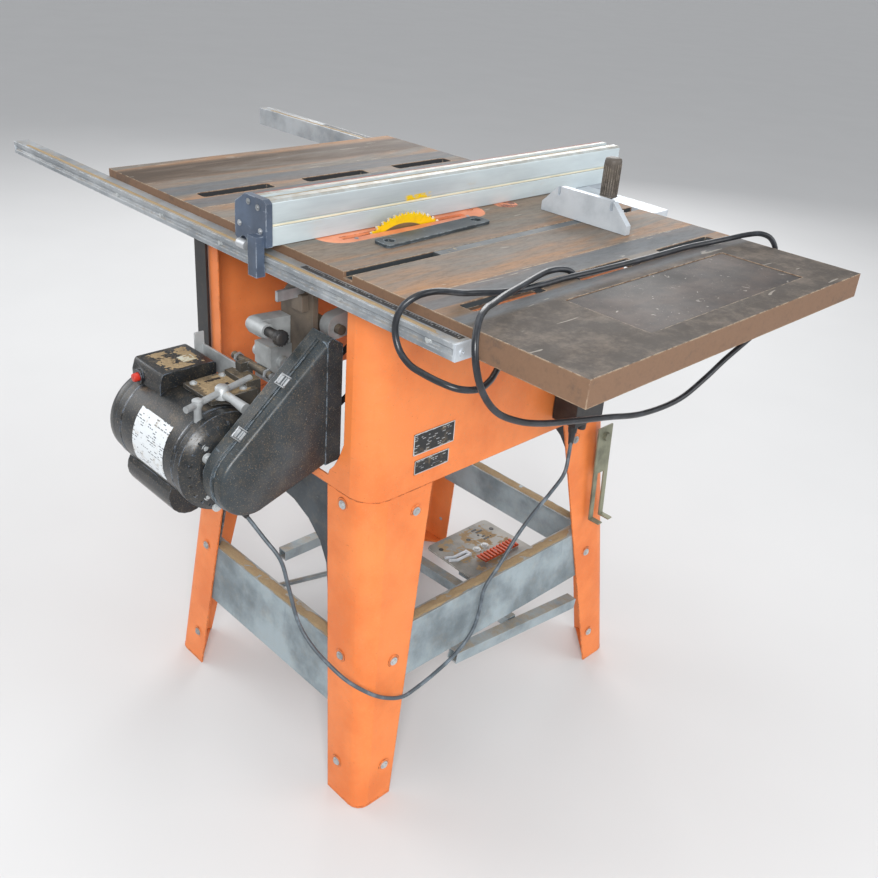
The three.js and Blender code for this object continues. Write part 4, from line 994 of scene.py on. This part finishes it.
def make_stand():
    places = []
    for side, sy in (("rear", 1), ("front", -1)):
        for hand, sx in (("left", -1), ("right", 1)):
            dressed(f"leg_{side}_{hand}", f"{side}_{hand}_leg_panel", "orange", 0.7)
            for z, inwards in ((-394, 60), (-674, 57), (-895, 60)):
                x, y = leg_face(sx, sy, z)
                places.append(((x - sx * inwards, y + sy * 0.4, z), Y * sy))
            for z, inwards in ((-416, 108), (-686, 72), (-896, 60)):
                x, y = leg_face(sx, sy, z)
                places.append(((x + sx * 0.4, y - sy * inwards, z), X * sx))
    bolts("leg_bolts", places, "stand", "zinc", 5)
    rings = Solid()
    for point, facing in places:
        start = Vector(point) - Vector(facing) * 0.3
        rings.turn(start, facing, [(0, 13), (0.7, 12), (0.8, 9), (0.3, 8.6)], 24)
    rings.object("bolt_dimples", "orange", "stand", "orange_paint", split=60)
    dressed("arch_front", "front_arch_panel", "charcoal", 0.6)
    dressed("arch_rear", "rear_arch_panel", "charcoal", 0.6)
    for node in ("stretcher_left", "stretcher_rear", "stretcher_front", "stretcher_right"):
        dressed(node, node + "_bar", "blue_steel", 0.6)
    for node, seed in (("stretcher_left", 5), ("stretcher_rear", 6), ("stretcher_front", 8)):
        low, high = span(node)
        if node == "stretcher_left":
            heap(node + "_dust", high.x - 25, high.x - 2, low.y + 20, high.y - 20, high.z + 0.1, 5, 6, 70,
                 "stand", seed)
        else:
            y0, y1 = (low.y + 2, low.y + 26) if node == "stretcher_rear" else (high.y - 26, high.y - 2)
            heap(node + "_dust", low.x + 20, high.x - 20, y0, y1, high.z + 0.1, 5, 70, 6, "stand", seed)


def make_lift_base():
    for node in ("base_tube_left", "base_cross_tube", "base_tube_right"):
        dressed(node, node + "_bar", "blue_steel", 0.8)
    dressed("lift_pedal", "lift_pedal_plate", "pedal", 0.8)
    top = span("lift_pedal")[1].z - 5
    strip = Solid()
    strip.box(-101, -77, -168, -68, top + 2, top + 5)
    strip.object("pedal_strip", "ribbed", "pedal", "orange_paint", 0.5)
    row("pedal_strip_ribs", (-89, -163, top + 6.5), (0, 9.5, 0), 11, (24, 4.5, 3), "ribbed", "pedal")
    fork = Solid()
    for x in (-62, -50):
        fork.sweep([(x, -60, top + 4), (x, -25, top + 5), (x + 2, -4, top + 12)], 3.2, 10)
    fork.sweep([(-64, -62, top + 4), (-48, -62, top + 4)], 3.6, 10)
    fork.object("pedal_fork", "alloy", "pedal", "aluminium", split=60)
    marks = Solid()
    for k in range(6):
        marks.box(-40 + 9 * k, -36 + 9 * k, -150 + 9 * (k % 3), -128 - 4 * (k % 2), top + 0.1, top + 0.7)
    for x, y in ((-130, -30), (-10, -30), (-20, -170), (-130, -170), (-20, -100)):
        marks.turn((x, y, top + 0.1), Z, [(0, 5), (0.7, 4.6)], 20)
    marks.object("pedal_marks", "plastic", "pedal", "black_plastic")
    bolts("pedal_bolts", [((x, y, top + 1), Z) for x, y in ((-85, -112), (-56, -112), (-56, -88))], "pedal")
    heap("pedal_dust", -148, 12, -182, -20, top + 0.1, 2.2, 44, 44, "pedal", 11, 0.16)


# ---------------------------------------------------------------- motor and drive
def make_motor():
    y, z, r = MOTOR_Y, MOTOR_Z, MOTOR_R
    x0, x1 = MOTOR_LOW.x, MOTOR_HIGH.x
    shell = Solid()
    shell.turn((x0, y, z), X, [(0, r - 3), (0, r - 0.8), (4, r - 0.2), (8, r - 0.2), (9, r - 1.6),
                               (11, r - 1.6), (12, r - 0.4), (165, r - 0.4), (166, r - 1.6), (168, r - 1.6),
                               (169, r - 0.2), (184, r - 0.2), (186, r - 2)], 72)
    shell.object("motor_shell", "black", "tilt_carriage", "black_paint", split=40, stands_for=("motor_body",))
    bell = Solid()
    d = x1 - x0
    bell.turn((x0, y, z), X, [(186.2, r - 8), (186.4, r - 2.2), (194, r - 1.6), (205, r - 2.4),
                              (d - 14, r - 5), (d - 6, r - 12), (d - 2, r - 22), (d - 1.5, 38), (d - 4, 36),
                              (d - 4, 24), (d - 0.5, 22), (d - 0.2, 8), (d - 0.2, 0.5)], 72)
    bell.object("motor_rear_bell", "black", "tilt_carriage", "black_paint", split=40)
    ring_of("motor_rear_ribs", (x1 - 6, y, z), X, 48, 16, (19, 3, 3), "black", "tilt_carriage")
    low, high = span("motor_bell_front")
    front = Solid()
    d = high.x - low.x
    front.turn((high.x, y, z), -X, [(0, r), (0.2, r + 1.8), (13, r + 1.8), (15, r - 1), (20, r - 5),
                                    (26, r - 12), (d - 4, 57), (d - 0.4, 50), (d - 0.4, 22), (d - 3, 20),
                                    (d - 3, 10), (3, 9.4)], 72)
    front.object("motor_front_bell", "black", "tilt_carriage", "black_paint", split=40,
                 stands_for=("motor_bell_front",))
    ring_of("motor_front_fins", (high.x - 22, y, z), X, 67, 24, (14, 2.6, 9), "black", "tilt_carriage")
    turns = [math.pi / 4 + math.pi / 2 * k for k in range(4)]
    circle = [(y + THROUGH_BOLT_CIRCLE * math.cos(a), z + THROUGH_BOLT_CIRCLE * math.sin(a)) for a in turns]
    through = [((x, *p), facing) for x, facing in ((low.x + 8, -X), (x1 - 6, X)) for p in circle]
    bolts("motor_through_bolts", through, "tilt_carriage", radius=4.4)
    bolts("motor_ear_bolts", [((-21.5, 515, -292), -X), ((-10.5, 495, -391), -X)], "tilt_carriage",
          radius=5.5)
    sticker = Solid()
    sticker.box(150, 172, 424, 448, -212.95, -212.5)
    sticker.object("junction_box_sticker", "paper", "tilt_carriage", "black_paint")
    label = Solid()
    turns = [math.radians(a) for a in range(-22, 45, 6)]
    inner = [(50, y + (r - 0.2) * math.cos(a), z + (r - 0.2) * math.sin(a)) for a in turns]
    outer = [(50, y + (r + 0.5) * math.cos(a), z + (r + 0.5) * math.sin(a)) for a in reversed(turns)]
    label.plate(inner + outer, (92, 0, 0))
    label.object("motor_label", "motor_label", "tilt_carriage", "black_paint", split=40)
    dressed("motor_junction_box", "junction_box", "black", 1.6)
    dressed("capacitor_cover", "capacitor_shell", "black", 1.6)
    bezel = Solid()
    bezel.turn((RESET_X, 503.5, RESET_Z), Y, [(0, 12), (3.4, 12), (4.2, 11), (4.2, 8.8), (0.6, 8.4)], 28)
    bezel.object("reset_bezel", "alloy", "tilt_carriage", "aluminium")
    low, high = span("reset_button")
    button = Solid()
    inner, reach = low.y + 1, high.y - low.y - 1
    profile = [(0, 7.4), (reach - 3, 7.2), (reach - 0.6, 6.2), (reach, 4)]
    button.turn((RESET_X, inner, RESET_Z), Y, profile, 28)
    button.object("reset_button_cap", "red", "reset", "red_plastic", stands_for=("reset_button",))
    bolts("junction_box_screws", [((x, 508.4, zz), Y) for x, zz in ((134, -266), (206, -268))],
          "tilt_carriage", radius=2.8)
    bolts("capacitor_screws", [((x, 528, -385), Y + Z * 0.2) for x in (76, 182)], "tilt_carriage", radius=2.6)
    heap("junction_box_dust", 132, 208, 410, 492, -212.9, 2.4, 48, 48, "tilt_carriage", 14, 0.24)


def make_motor_mount():
    dressed("motor_cradle", "motor_mount_plate", "mount", 0.9)
    angle = Solid()
    angle.box(100, 200, 380, 384, -250, -212)
    angle.box(196, 200, 380, 398, -250, -190)
    angle.object("mount_angle", "zinc", "tilt_carriage", "zinc_plate", 0.8)
    tee = Solid()
    tee.sweep([(13, 528, -221), (37, 449, -221), (54, 385, -221)], 5.4, 14)
    tee.turn((20.5, 503, -258), Z, [(0, 7), (30, 6), (36, 8.5), (44, 8.5), (46, 5)], 20)
    tee.object("mount_tee_rod", "zinc", "tilt_carriage", "zinc_plate", 0.0, 50)
    arm = Solid()
    arm.turn((37, 449, -232), Z, [(0, 12), (18, 11), (21, 8)], 24)
    arm.sweep([(37, 449, -224), (12, 446, -226), (-18, 443, -231)], [8, 7, 9], 14)
    arm.object("mount_tee_arm", "zinc", "tilt_carriage", "zinc_plate", 0.0, 50)
    dressed("rear_arm", "swing_arm_casting", "zinc", 1.2)
    knob = Solid()
    low, high = span("arm_lock_knob")
    y, z = (low.y + high.y) / 2, (low.z + high.z) / 2
    knob.turn((low.x, y, z), X, [(0, 6), (0.5, 10), (3, 12.5), (8, 12.9), (12, 11.5), (14, 9), (28, 8),
                                 (high.x - low.x, 8)], 32)
    knob.object("arm_knob", "plastic", "lock_knob", "black_plastic", split=50, stands_for=("arm_lock_knob",))
    ring_of("arm_knob_ribs", (low.x + 6, y, z), X, 12.2, 14, (1.4, 2.2, 8), "plastic", "lock_knob")
    rod = Solid()
    rod.turn((20, 366, -212), X, [(0, 4), (1, 5.6), (109, 5.6), (110, 4)], 24)
    for x in (30, 112):
        rod.turn((x, 366, -212), X, [(0, 6.6), (0.5, 9.4), (4.6, 9.4), (5, 6.6)], 6)
    rod.object("mount_rod_nuts", "steel", "tilt_carriage", "bright_steel", split=40)
    # Thin near-black plates stand for the plate's three slots: painted shade in the openings.
    slots = Solid()
    for x in (52, 76, 100):
        slots.box(x - 3, x + 3, 412, 452, -232.2, -231.4)
    slots.object("mount_slot_shade", "plastic", "tilt_carriage", "black_plastic")
    bolts("mount_bolts", [((x, yy, -231), Z) for x in (46, 106) for yy in (404, 458)], "tilt_carriage",
          radius=4)
    bar = Solid()
    bar.box(-3, 3, 320.6, 372, -77.8, -61.2)
    bar.object("splitter_bar_blade", "steel", "tilt_carriage", "bright_steel", 0.6,
               stands_for=("splitter_bar",))
    block = Solid()
    block.box(-13.8, 13.8, 320.6, 333.8, -99.8, -73.2)
    block.object("splitter_bar_block", "rough_iron", "tilt_carriage", "dark_casting", 0.8)
    painted_node("trunnion", "rough_iron")
    dressed("cradle", "tilt_cradle", "rough_iron", 1.2)
    heap("mount_dust", 38, 114, 388, 466, -231.8, 2.6, 40, 40, "tilt_carriage", 15, 0.3)


def guard_outline(x, inset, front):
    """The belt guard's side view at one X: a slope down to a round end under the motor's shaft."""
    r = GUARD_END_R - inset
    turns = [math.radians(52 - 152 * k / 16) for k in range(17)]
    arc = [(x, MOTOR_Y + r * math.cos(a), MOTOR_Z + r * math.sin(a)) for a in turns]
    return [(x, front, -128.8 - 1.3 * inset), *arc, (x, front, -341.4 + 1.05 * inset)]


def make_guard():
    low, high = span("guard_cover")
    x0, x1, front = low.x, high.x, low.y
    shell = Solid()
    steps = [(x0 + 3, 6), (x0 + 5, 3), (x1, 3), (x1, 0), (x0 + 8, 0), (x0 + 5, 0.7), (x0 + 2.4, 2.4),
             (x0 + 0.7, 5), (x0, 8)]
    shell.loft([guard_outline(x, inset, front) for x, inset in steps])
    shell.object("guard_cover_shell", "guard", "guard_lid", "black_paint", split=30,
                 stands_for=("guard_cover",))
    dressed("guard_back", "guard_back_shell", "guard", 2.0, 25)
    clips = Solid()
    slope = Vector((0, 506.9 - 324, -274.7 + 121)).normalized()
    out = Vector((0, -slope.z, slope.y))
    for along in (96, 200):
        middle = Vector((x1, 324, -121)) + slope * along
        base = [middle + slope * s * 7 + X * t * 10 + out * 0.2 for s, t in SQUARE]
        clips.plate(base, out * 1.2)
        for s in (-9, 9):
            end = middle + slope * s + out * 1.6
            clips.sweep([end - X * 11, end + X * 11], 1.4, 8)
        pin = middle + X * 11 + out * 1.6
        clips.sweep([pin - slope * 10, pin + slope * 10], 1.4, 8)
    clips.object("guard_clips", "steel", "tilt_carriage", "bright_steel", split=50)
    rim = Solid()
    for offset, radius in ((1.2, 1.6), (-4.4, 1.1)):
        path = [Vector(p) for p in guard_outline(x1 + offset, -0.4, front + 2)]
        rim.sweep(path, radius, 8)
    rim.object("guard_seam_beads", "guard", "tilt_carriage", "black_paint", split=60)


def make_drive():
    for node, y, z in (("arbor", BLADE_Y, BLADE_Z), ("motor_pulley", MOTOR_Y, MOTOR_Z)):
        turned = Solid()
        groove = [(-64.3, 5), (-64, 8), (-60.1, 8), (-60, 12), (-60, 33), (-59.4, 34), (-57, 34), (-54.4, 30),
                  (-52.6, 30), (-50, 34), (-47.6, 34), (-47, 33), (-47, 12), (-44, 12), (-43.6, 8)]
        if node == "arbor":
            groove += [(-9.2, 8), (-9, 23), (-8.4, 24), (-2.4, 24), (-1.8, 23.4), (-1.8, 8), (15.4, 8),
                       (16, 7)]
        else:
            groove += [(-7.6, 8), (-7, 7.4)]
        turned.turn((0, y, z), X, groove, 48)
        turned.object(node + "_shaft", "steel", BODY_OF[node], "bright_steel", split=40, stands_for=(node,))
    dressed("arbor_nut_and_flange", "arbor_nut", "steel", 0.5)
    dressed("arbor_arm", "arbor_arm_casting", "zinc", 1.4)
    belt = dressed("drive_belt", "v_belt", "belt", 0.8, 40, rides=False)
    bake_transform(belt)


def make_blade():
    teeth, r = sizes().teeth, BLADE_R
    pitch = 2 * math.pi / teeth
    outline = []
    for k in range(teeth):
        a = pitch * k
        outline += [(a, r - 0.3), (a + 0.2 * pitch, r - 0.8), (a + 0.45 * pitch, r - 1.8),
                    (a + 0.62 * pitch, r - 3.6), (a + 0.74 * pitch, r - 5.6), (a + 0.86 * pitch, r - 5.8),
                    (a + 0.95 * pitch, r - 4), (a + 0.99 * pitch, r - 2)]
    plate = Solid()
    half, bore = 1.1, 8.2
    outer = [(BLADE_Y + q * math.cos(a), BLADE_Z + q * math.sin(a)) for a, q in outline]
    inner = [(BLADE_Y + bore * math.cos(a), BLADE_Z + bore * math.sin(a)) for a, _ in outline]
    around = ((-half, inner), (-half, outer), (half, outer), (half, inner))
    rings = [[(x, *p) for p in side] for x, side in around]
    plate.loft([*rings, rings[0]], closed_ends=False)
    plate.object("saw_blade", "blade", "blade_rotor", "blade_coat", split=40, stands_for=("blade",))
    tips = Solid()
    for k in range(teeth):
        a = 2 * math.pi * k / teeth
        out, on = Vector((0, math.cos(a), math.sin(a))), Vector((0, -math.sin(a), math.cos(a)))
        centre = Vector((0, BLADE_Y, BLADE_Z))
        corners = [centre + out * (r - 5) + on * -0.3, centre + out * (r - 0.1) + on * -0.5,
                   centre + out * (r - 0.4) + on * 2.8, centre + out * (r - 4.6) + on * 2]
        tips.plate([c - X * 1.45 for c in corners], X * 2.9)
    tips.object("blade_tips", "tips", "blade_rotor", "blade_coat", split=30)


def make_handwheels():
    for node, centre, axis, name in (
        ("height_handwheel", (60, CABINET_LOW.y, -190), -Y, "height_wheel"),
        ("tilt_handwheel", (CABINET_HIGH.x, 20, -200), X, "tilt_wheel"),
    ):
        centre, body = Vector(centre), BODY_OF[node]
        wheel = Solid()
        wheel.ring(centre + axis * 31, axis, 71.5, 6.2)
        wheel.turn(centre, axis, [(-8, 7), (-8, 9), (11, 9), (12, 14), (14, 17.5), (30, 17.5), (35, 14),
                                  (36.5, 9), (40, 8), (40.5, 5)], 36)
        for k in range(3):
            a = math.pi / 2 + 2 * math.pi * k / 3
            out = (X if axis.x == 0 else Y) * math.cos(a) + Z * math.sin(a)
            wheel.sweep([centre + axis * 25 + out * 12, centre + axis * 27 + out * 40,
                         centre + axis * 31 + out * 67], [7.5, 5.6, 6], 12)
        wheel.object(name + "_casting", "black", body, "black_paint", split=50, stands_for=(node,))
        a = -math.pi / 6
        out = (X if axis.x == 0 else Y) * math.cos(a) + Z * math.sin(a)
        handle = Solid()
        profile = [(0, 5), (6, 5), (7, 7), (12, 9.5), (26, 11.5), (38, 11), (45, 8), (47.5, 3)]
        handle.turn(centre + axis * 30 + out * 68, axis, profile, 28)
        handle.object(name + "_handle", "plastic", body, "black_plastic", split=50)


# ---------------------------------------------------------------- fence and miter gauge
def make_fence():
    dressed("fence_body", "fence_extrusion", "fence", 0.9)
    low, high = span("fence_body")
    # A pale strip along the groove's lip: a painted highlight.
    lip = Solid()
    lip.box(low.x + 0.15, low.x + 1.4, low.y + 2, high.y - 2, 31.2, 34)
    lip.object("fence_lip_highlight", "lip_highlight", "rip_fence", "aluminium", 0.3)
    heap("fence_slot_dust", low.x + 19, low.x + 33, low.y + 10, high.y - 6, 66.2, 1.6, 6, 90, "rip_fence", 21)
    line = Solid()
    line.box(low.x + 44.6, low.x + 46, low.y + 4, high.y - 4, 70.05, 70.4)
    line.object("fence_red_line", "red_line", "rip_fence", "red_plastic")
    dressed("fence_rear_cap", "fence_rear_end", "slate", 1.3)
    low, high = span("fence_rear_cap")
    rollers = Solid()
    rollers.turn((62, high.y - 12, -6), X, [(0, 6), (0.6, 7.5), (21.4, 7.5), (22, 6)], 24)
    rollers.object("fence_roller", "steel", "rip_fence", "bright_steel", split=40)
    face = 378.3
    bolts("fence_cap_screws", [((x, face + 0.2, z), Y) for x, z in ((30, 24), (84, 24), (36, 58), (60, 62))],
          "rip_fence", "steel", 3)
    glide = Solid()
    glide.box(23, 43, 377, 391, -32.5, -28.6)
    glide.object("fence_glide", "alloy", "rip_fence", "aluminium", 0.5)
    dressed("fence_head", "fence_head_casting", "alloy", 1.6)
    bolts("fence_head_screws", [((x, -430, -9.6), Z) for x in (38, 57, 76)], "rip_fence", "steel",
          4)
    lever = Solid()
    low, high = span("fence_lever")
    wide = high.x - low.x
    lever.turn((high.x, -488, -24), -X, [(0, 8), (0.6, 10), (wide - 0.6, 10), (wide, 8)], 28)
    arm = [(57, -488, -24), (57, -512, -39), (57, -536, -55), (57, -553, -66.5), (57, -557, -69)]
    lever.sweep(arm, [7, 8, 9, 9, 6], 20)
    lever.object("fence_lever_grip", "plastic", "fence_clamp_lever", "black_plastic", split=50,
                 stands_for=("fence_lever",))
    cap = Solid()
    low, high = span("fence_body")
    cap.box(low.x + 1, high.x - 1, low.y - 2.2, low.y - 0.2, 2, 44)
    cap.object("fence_front_end", "slate", "rip_fence", "slate_paint", 0.6)


def make_miter_gauge():
    painted_node("miter_bar", "slot_steel")
    dressed("miter_head", "miter_head_casting", "alloy", 1.3)
    turns = [math.radians(a) for a in range(200, 341, 10)]
    dial = Solid()
    arcs = ((66, turns), (52, turns[::-1]))
    outline = [(MITER_X + r * math.cos(a), MITER_Y + r * math.sin(a), 9.1) for r, arc in arcs for a in arc]
    dial.plate(outline, (0, 0, 0.5))
    dial.object("miter_dial", "dull_alloy", "miter_gauge", "aluminium")
    marks = Solid()
    for k in range(29):
        a = math.radians(200 + 5 * k)
        reach = 56 if k % 3 else 53
        p, q = ((MITER_X + r * math.cos(a), MITER_Y + r * math.sin(a), 9.9) for r in (reach, 64))
        marks.sweep([p, q], 0.4, 4)
    marks.object("miter_dial_marks", "ink", "miter_gauge", "charcoal_paint")
    pointer = Solid()
    pointer.plate([(-134, -296, 4.3), (-130, -296, 4.3), (-126, -262, 4.3), (-138, -262, 4.3)], (0, 0, 1.6))
    pointer.object("miter_pointer", "plastic", "miter_gauge", "black_plastic", 0.3)
    low, _ = span("miter_handle")
    knob = Solid()
    profile = [(0, 6), (0.4, 8), (11, 8), (12, 13), (14, 15.6), (20, 14.6), (60, 14), (74, 14.8), (78, 13.6),
               (79.6, 10)]
    knob.turn((MITER_KNOB_X, MITER_KNOB_Y, low.z), Z, profile, 40)
    knob.object("miter_knob_grip", "grip", "miter_knob", "brown_grip", split=50, stands_for=("miter_handle",))
    ring_of("miter_knob_ribs", (MITER_KNOB_X, MITER_KNOB_Y, low.z + 44), Z, 14.3, 22, (1.8, 1.9, 52), "grip",
            "miter_knob")
    bolts("miter_screws", [((-80, -196, 9.2), Z), ((-186, -196, 9.2), Z)], "miter_gauge", "steel",
          3.2)


# ---------------------------------------------------------------- loose pieces and switch
def make_loose_pieces():
    dressed("arbor_wrench", "arbor_wrench_bar", "wrench", 0.8)
    dressed("fork_bracket", "fork_hook", "olive_zinc", 0.5)
    dressed("switch_box", "switch_housing", "plastic", 1.8)
    low, high = span("switch_paddle")
    paddle = Solid()
    profile = [(low.y + 4, high.z), (high.y, high.z), (high.y, low.z), (low.y + 2, low.z), (low.y, low.z + 5),
               (low.y + 3, (low.z + high.z) / 2)]
    paddle.plate([(low.x, y, z) for y, z in profile], (high.x - low.x, 0, 0))
    paddle.object("switch_paddle_face", "red", "paddle", "red_plastic", 0.9, stands_for=("switch_paddle",))
    bolts("switch_screws", [((x, -190.6, z), -Y) for x, z in ((-232, -270), (-192, -340))], "stand",
          radius=2.6)


def make_stage():
    low, high = CAD_BOX
    floor = bpy.data.meshes.new("floor")
    reach = 60
    centre = (low + high) / 2
    corners = [(centre.x + sx * reach, centre.y + sy * reach, -0.0005) for sx, sy in SQUARE]
    floor.from_pydata(corners, [], [(0, 1, 2, 3)])
    floor = bpy.data.objects.new("floor", floor)
    bpy.context.scene.collection.objects.link(floor)
    look = Look("pale_floor")
    tone = look.mix(look.noise(2, 2), (0.62, 0.62, 0.62), (0.66, 0.66, 0.66))
    floor.data.materials.append(look.done(tone, look.scaled(look.noise(3), 0.7, 0.8)))
    world = bpy.data.worlds.new("studio")
    bpy.context.scene.world = world
    world.use_nodes = True
    world.node_tree.nodes["Background"].inputs["Color"].default_value = (0.95, 0.97, 1, 1)
    world.node_tree.nodes["Background"].inputs["Strength"].default_value = 0.6
    for name, place, power, size in (
        ("key", (-2.4, 2.1, 2.2), 84, 1.0),
        ("left", (-3.2, -1.8, 1.9), 36, 2.2),
        ("front", (2.2, -3.0, 2.2), 66, 2.4),
        ("right", (3.4, 1.6, 2.0), 44, 2.2),
        ("top", (0.2, 0.2, 3.6), 25, 2.6),
    ):
        light = bpy.data.lights.new(name, "AREA")
        light.energy, light.size = power, size
        lamp = bpy.data.objects.new(name, light)
        lamp.location = place
        lamp.rotation_euler = (centre - Vector(place)).to_track_quat("-Z", "Y").to_euler()
        bpy.context.scene.collection.objects.link(lamp)


def make_camera():
    yaw, pitch, roll = (math.radians(a) for a in (135.36, 28.08, 4.31))
    ahead = Vector((math.sin(yaw) * math.cos(pitch), math.cos(yaw) * math.cos(pitch), -math.sin(pitch)))
    right = ahead.cross(Z).normalized()
    up = right.cross(ahead)
    right, up = math.cos(roll) * right + math.sin(roll) * up, -math.sin(roll) * right + math.cos(roll) * up
    data = bpy.data.cameras.new("camera")
    data.sensor_width, data.lens = 36, 40.19
    data.shift_x, data.shift_y = 0.0146, -0.0019
    camera = bpy.data.objects.new("camera", data)
    camera.rotation_mode = "QUATERNION"
    camera.rotation_quaternion = Matrix((right, up, -ahead)).transposed().to_quaternion()
    camera.location = at(-1152.3, 1195.3, 454.3)
    bpy.context.scene.collection.objects.link(camera)
    bpy.context.scene.camera = camera
    bpy.context.scene.view_settings.view_transform = "Standard"


# ---------------------------------------------------------------- operators
class SAW_OT_camera(bpy.types.Operator):
    """Adds the camera"""

    bl_idname = "saw.camera"
    bl_label = "Camera"
    bl_options = {"REGISTER", "UNDO"}

    def execute(self, context):
        make_camera()
        return {"FINISHED"}


class SAW_OT_cords(bpy.types.Operator):
    """Builds the mains cord, its plug and the motor's lead"""

    bl_idname = "saw.cords"
    bl_label = "Cords"
    bl_options = {"REGISTER", "UNDO"}

    def execute(self, context):
        make_cords()
        return {"FINISHED"}


class SAW_OT_table(bpy.types.Operator):
    """Builds the table, its wings and the throat insert"""

    bl_idname = "saw.table"
    bl_label = "Table"
    bl_options = {"REGISTER", "UNDO"}

    def execute(self, context):
        make_table()
        return {"FINISHED"}


class SAW_OT_rails(bpy.types.Operator):
    """Builds the fence rails with their scales and caps"""

    bl_idname = "saw.rails"
    bl_label = "Rails"
    bl_options = {"REGISTER", "UNDO"}

    def execute(self, context):
        make_rails()
        return {"FINISHED"}


class SAW_OT_cabinet(bpy.types.Operator):
    """Builds the cabinet with its plates and bolts"""

    bl_idname = "saw.cabinet"
    bl_label = "Cabinet"
    bl_options = {"REGISTER", "UNDO"}

    def execute(self, context):
        make_cabinet()
        return {"FINISHED"}


class SAW_OT_stand(bpy.types.Operator):
    """Builds the legs, arches and stretchers"""

    bl_idname = "saw.stand"
    bl_label = "Stand"
    bl_options = {"REGISTER", "UNDO"}

    def execute(self, context):
        make_stand()
        return {"FINISHED"}


class SAW_OT_lift_base(bpy.types.Operator):
    """Builds the tubes under the stand and the pedal"""

    bl_idname = "saw.lift_base"
    bl_label = "Lift base"
    bl_options = {"REGISTER", "UNDO"}

    def execute(self, context):
        make_lift_base()
        return {"FINISHED"}


class SAW_OT_motor(bpy.types.Operator):
    """Builds the motor with its boxes and label"""

    bl_idname = "saw.motor"
    bl_label = "Motor"
    bl_options = {"REGISTER", "UNDO"}

    def execute(self, context):
        make_motor()
        return {"FINISHED"}


class SAW_OT_motor_mount(bpy.types.Operator):
    """Builds the motor's plate, arm, knob and the cradle"""

    bl_idname = "saw.motor_mount"
    bl_label = "Motor mount"
    bl_options = {"REGISTER", "UNDO"}

    def execute(self, context):
        make_motor_mount()
        return {"FINISHED"}


class SAW_OT_guard(bpy.types.Operator):
    """Builds the two halves of the belt guard and its clips"""

    bl_idname = "saw.guard"
    bl_label = "Belt guard"
    bl_options = {"REGISTER", "UNDO"}

    def execute(self, context):
        make_guard()
        return {"FINISHED"}


class SAW_OT_drive(bpy.types.Operator):
    """Builds the pulleys, shafts, arm and belt"""

    bl_idname = "saw.drive"
    bl_label = "Drive"
    bl_options = {"REGISTER", "UNDO"}

    def execute(self, context):
        make_drive()
        return {"FINISHED"}


class SAW_OT_blade(bpy.types.Operator):
    """Builds the toothed blade"""

    bl_idname = "saw.blade"
    bl_label = "Blade"
    bl_options = {"REGISTER", "UNDO"}

    def execute(self, context):
        make_blade()
        return {"FINISHED"}


class SAW_OT_handwheels(bpy.types.Operator):
    """Builds the height and tilt handwheels"""

    bl_idname = "saw.handwheels"
    bl_label = "Handwheels"
    bl_options = {"REGISTER", "UNDO"}

    def execute(self, context):
        make_handwheels()
        return {"FINISHED"}


class SAW_OT_fence(bpy.types.Operator):
    """Builds the rip fence, its ends and lever"""

    bl_idname = "saw.fence"
    bl_label = "Fence"
    bl_options = {"REGISTER", "UNDO"}

    def execute(self, context):
        make_fence()
        return {"FINISHED"}


class SAW_OT_miter_gauge(bpy.types.Operator):
    """Builds the miter gauge"""

    bl_idname = "saw.miter_gauge"
    bl_label = "Miter gauge"
    bl_options = {"REGISTER", "UNDO"}

    def execute(self, context):
        make_miter_gauge()
        return {"FINISHED"}


class SAW_OT_loose_pieces(bpy.types.Operator):
    """Builds the wrench, the fork and the switch"""

    bl_idname = "saw.loose_pieces"
    bl_label = "Loose pieces"
    bl_options = {"REGISTER", "UNDO"}

    def execute(self, context):
        make_loose_pieces()
        return {"FINISHED"}


class SAW_OT_stage(bpy.types.Operator):
    """Adds the floor and the lights"""

    bl_idname = "saw.stage"
    bl_label = "Stage"
    bl_options = {"REGISTER", "UNDO"}

    def execute(self, context):
        make_stage()
        return {"FINISHED"}


OPERATORS = [
    SAW_OT_camera,
    SAW_OT_cords,
    SAW_OT_table,
    SAW_OT_rails,
    SAW_OT_cabinet,
    SAW_OT_stand,
    SAW_OT_lift_base,
    SAW_OT_motor,
    SAW_OT_motor_mount,
    SAW_OT_guard,
    SAW_OT_drive,
    SAW_OT_blade,
    SAW_OT_handwheels,
    SAW_OT_fence,
    SAW_OT_miter_gauge,
    SAW_OT_loose_pieces,
    SAW_OT_stage,
]


class SAW_PT_panel(bpy.types.Panel):
    """Lists the saw's operators, sizes and colours."""

    bl_label = "Table Saw"
    bl_space_type = "VIEW_3D"
    bl_region_type = "UI"
    bl_category = "Table Saw"

    def draw(self, context):
        for group in (context.scene.saw_sizes, context.scene.saw_colours):
            for key in group.bl_rna.properties.keys():
                if key not in ("rna_type", "name"):
                    self.layout.prop(group, key)
        for kind in OPERATORS:
            self.layout.operator(kind.bl_idname)


CLASSES = [SawColours, SawSizes, *OPERATORS, SAW_PT_panel]


def register():
    for kind in CLASSES:
        bpy.utils.register_class(kind)
    bpy.types.Scene.saw_colours = bpy.props.PointerProperty(type=SawColours)
    bpy.types.Scene.saw_sizes = bpy.props.PointerProperty(type=SawSizes)


def unregister():
    del bpy.types.Scene.saw_sizes, bpy.types.Scene.saw_colours
    for kind in reversed(CLASSES):
        bpy.utils.unregister_class(kind)


def main():
    register()
    for kind in OPERATORS:
        getattr(bpy.ops.saw, kind.bl_idname.split(".")[1])()


if __name__ == "__main__":
    main()
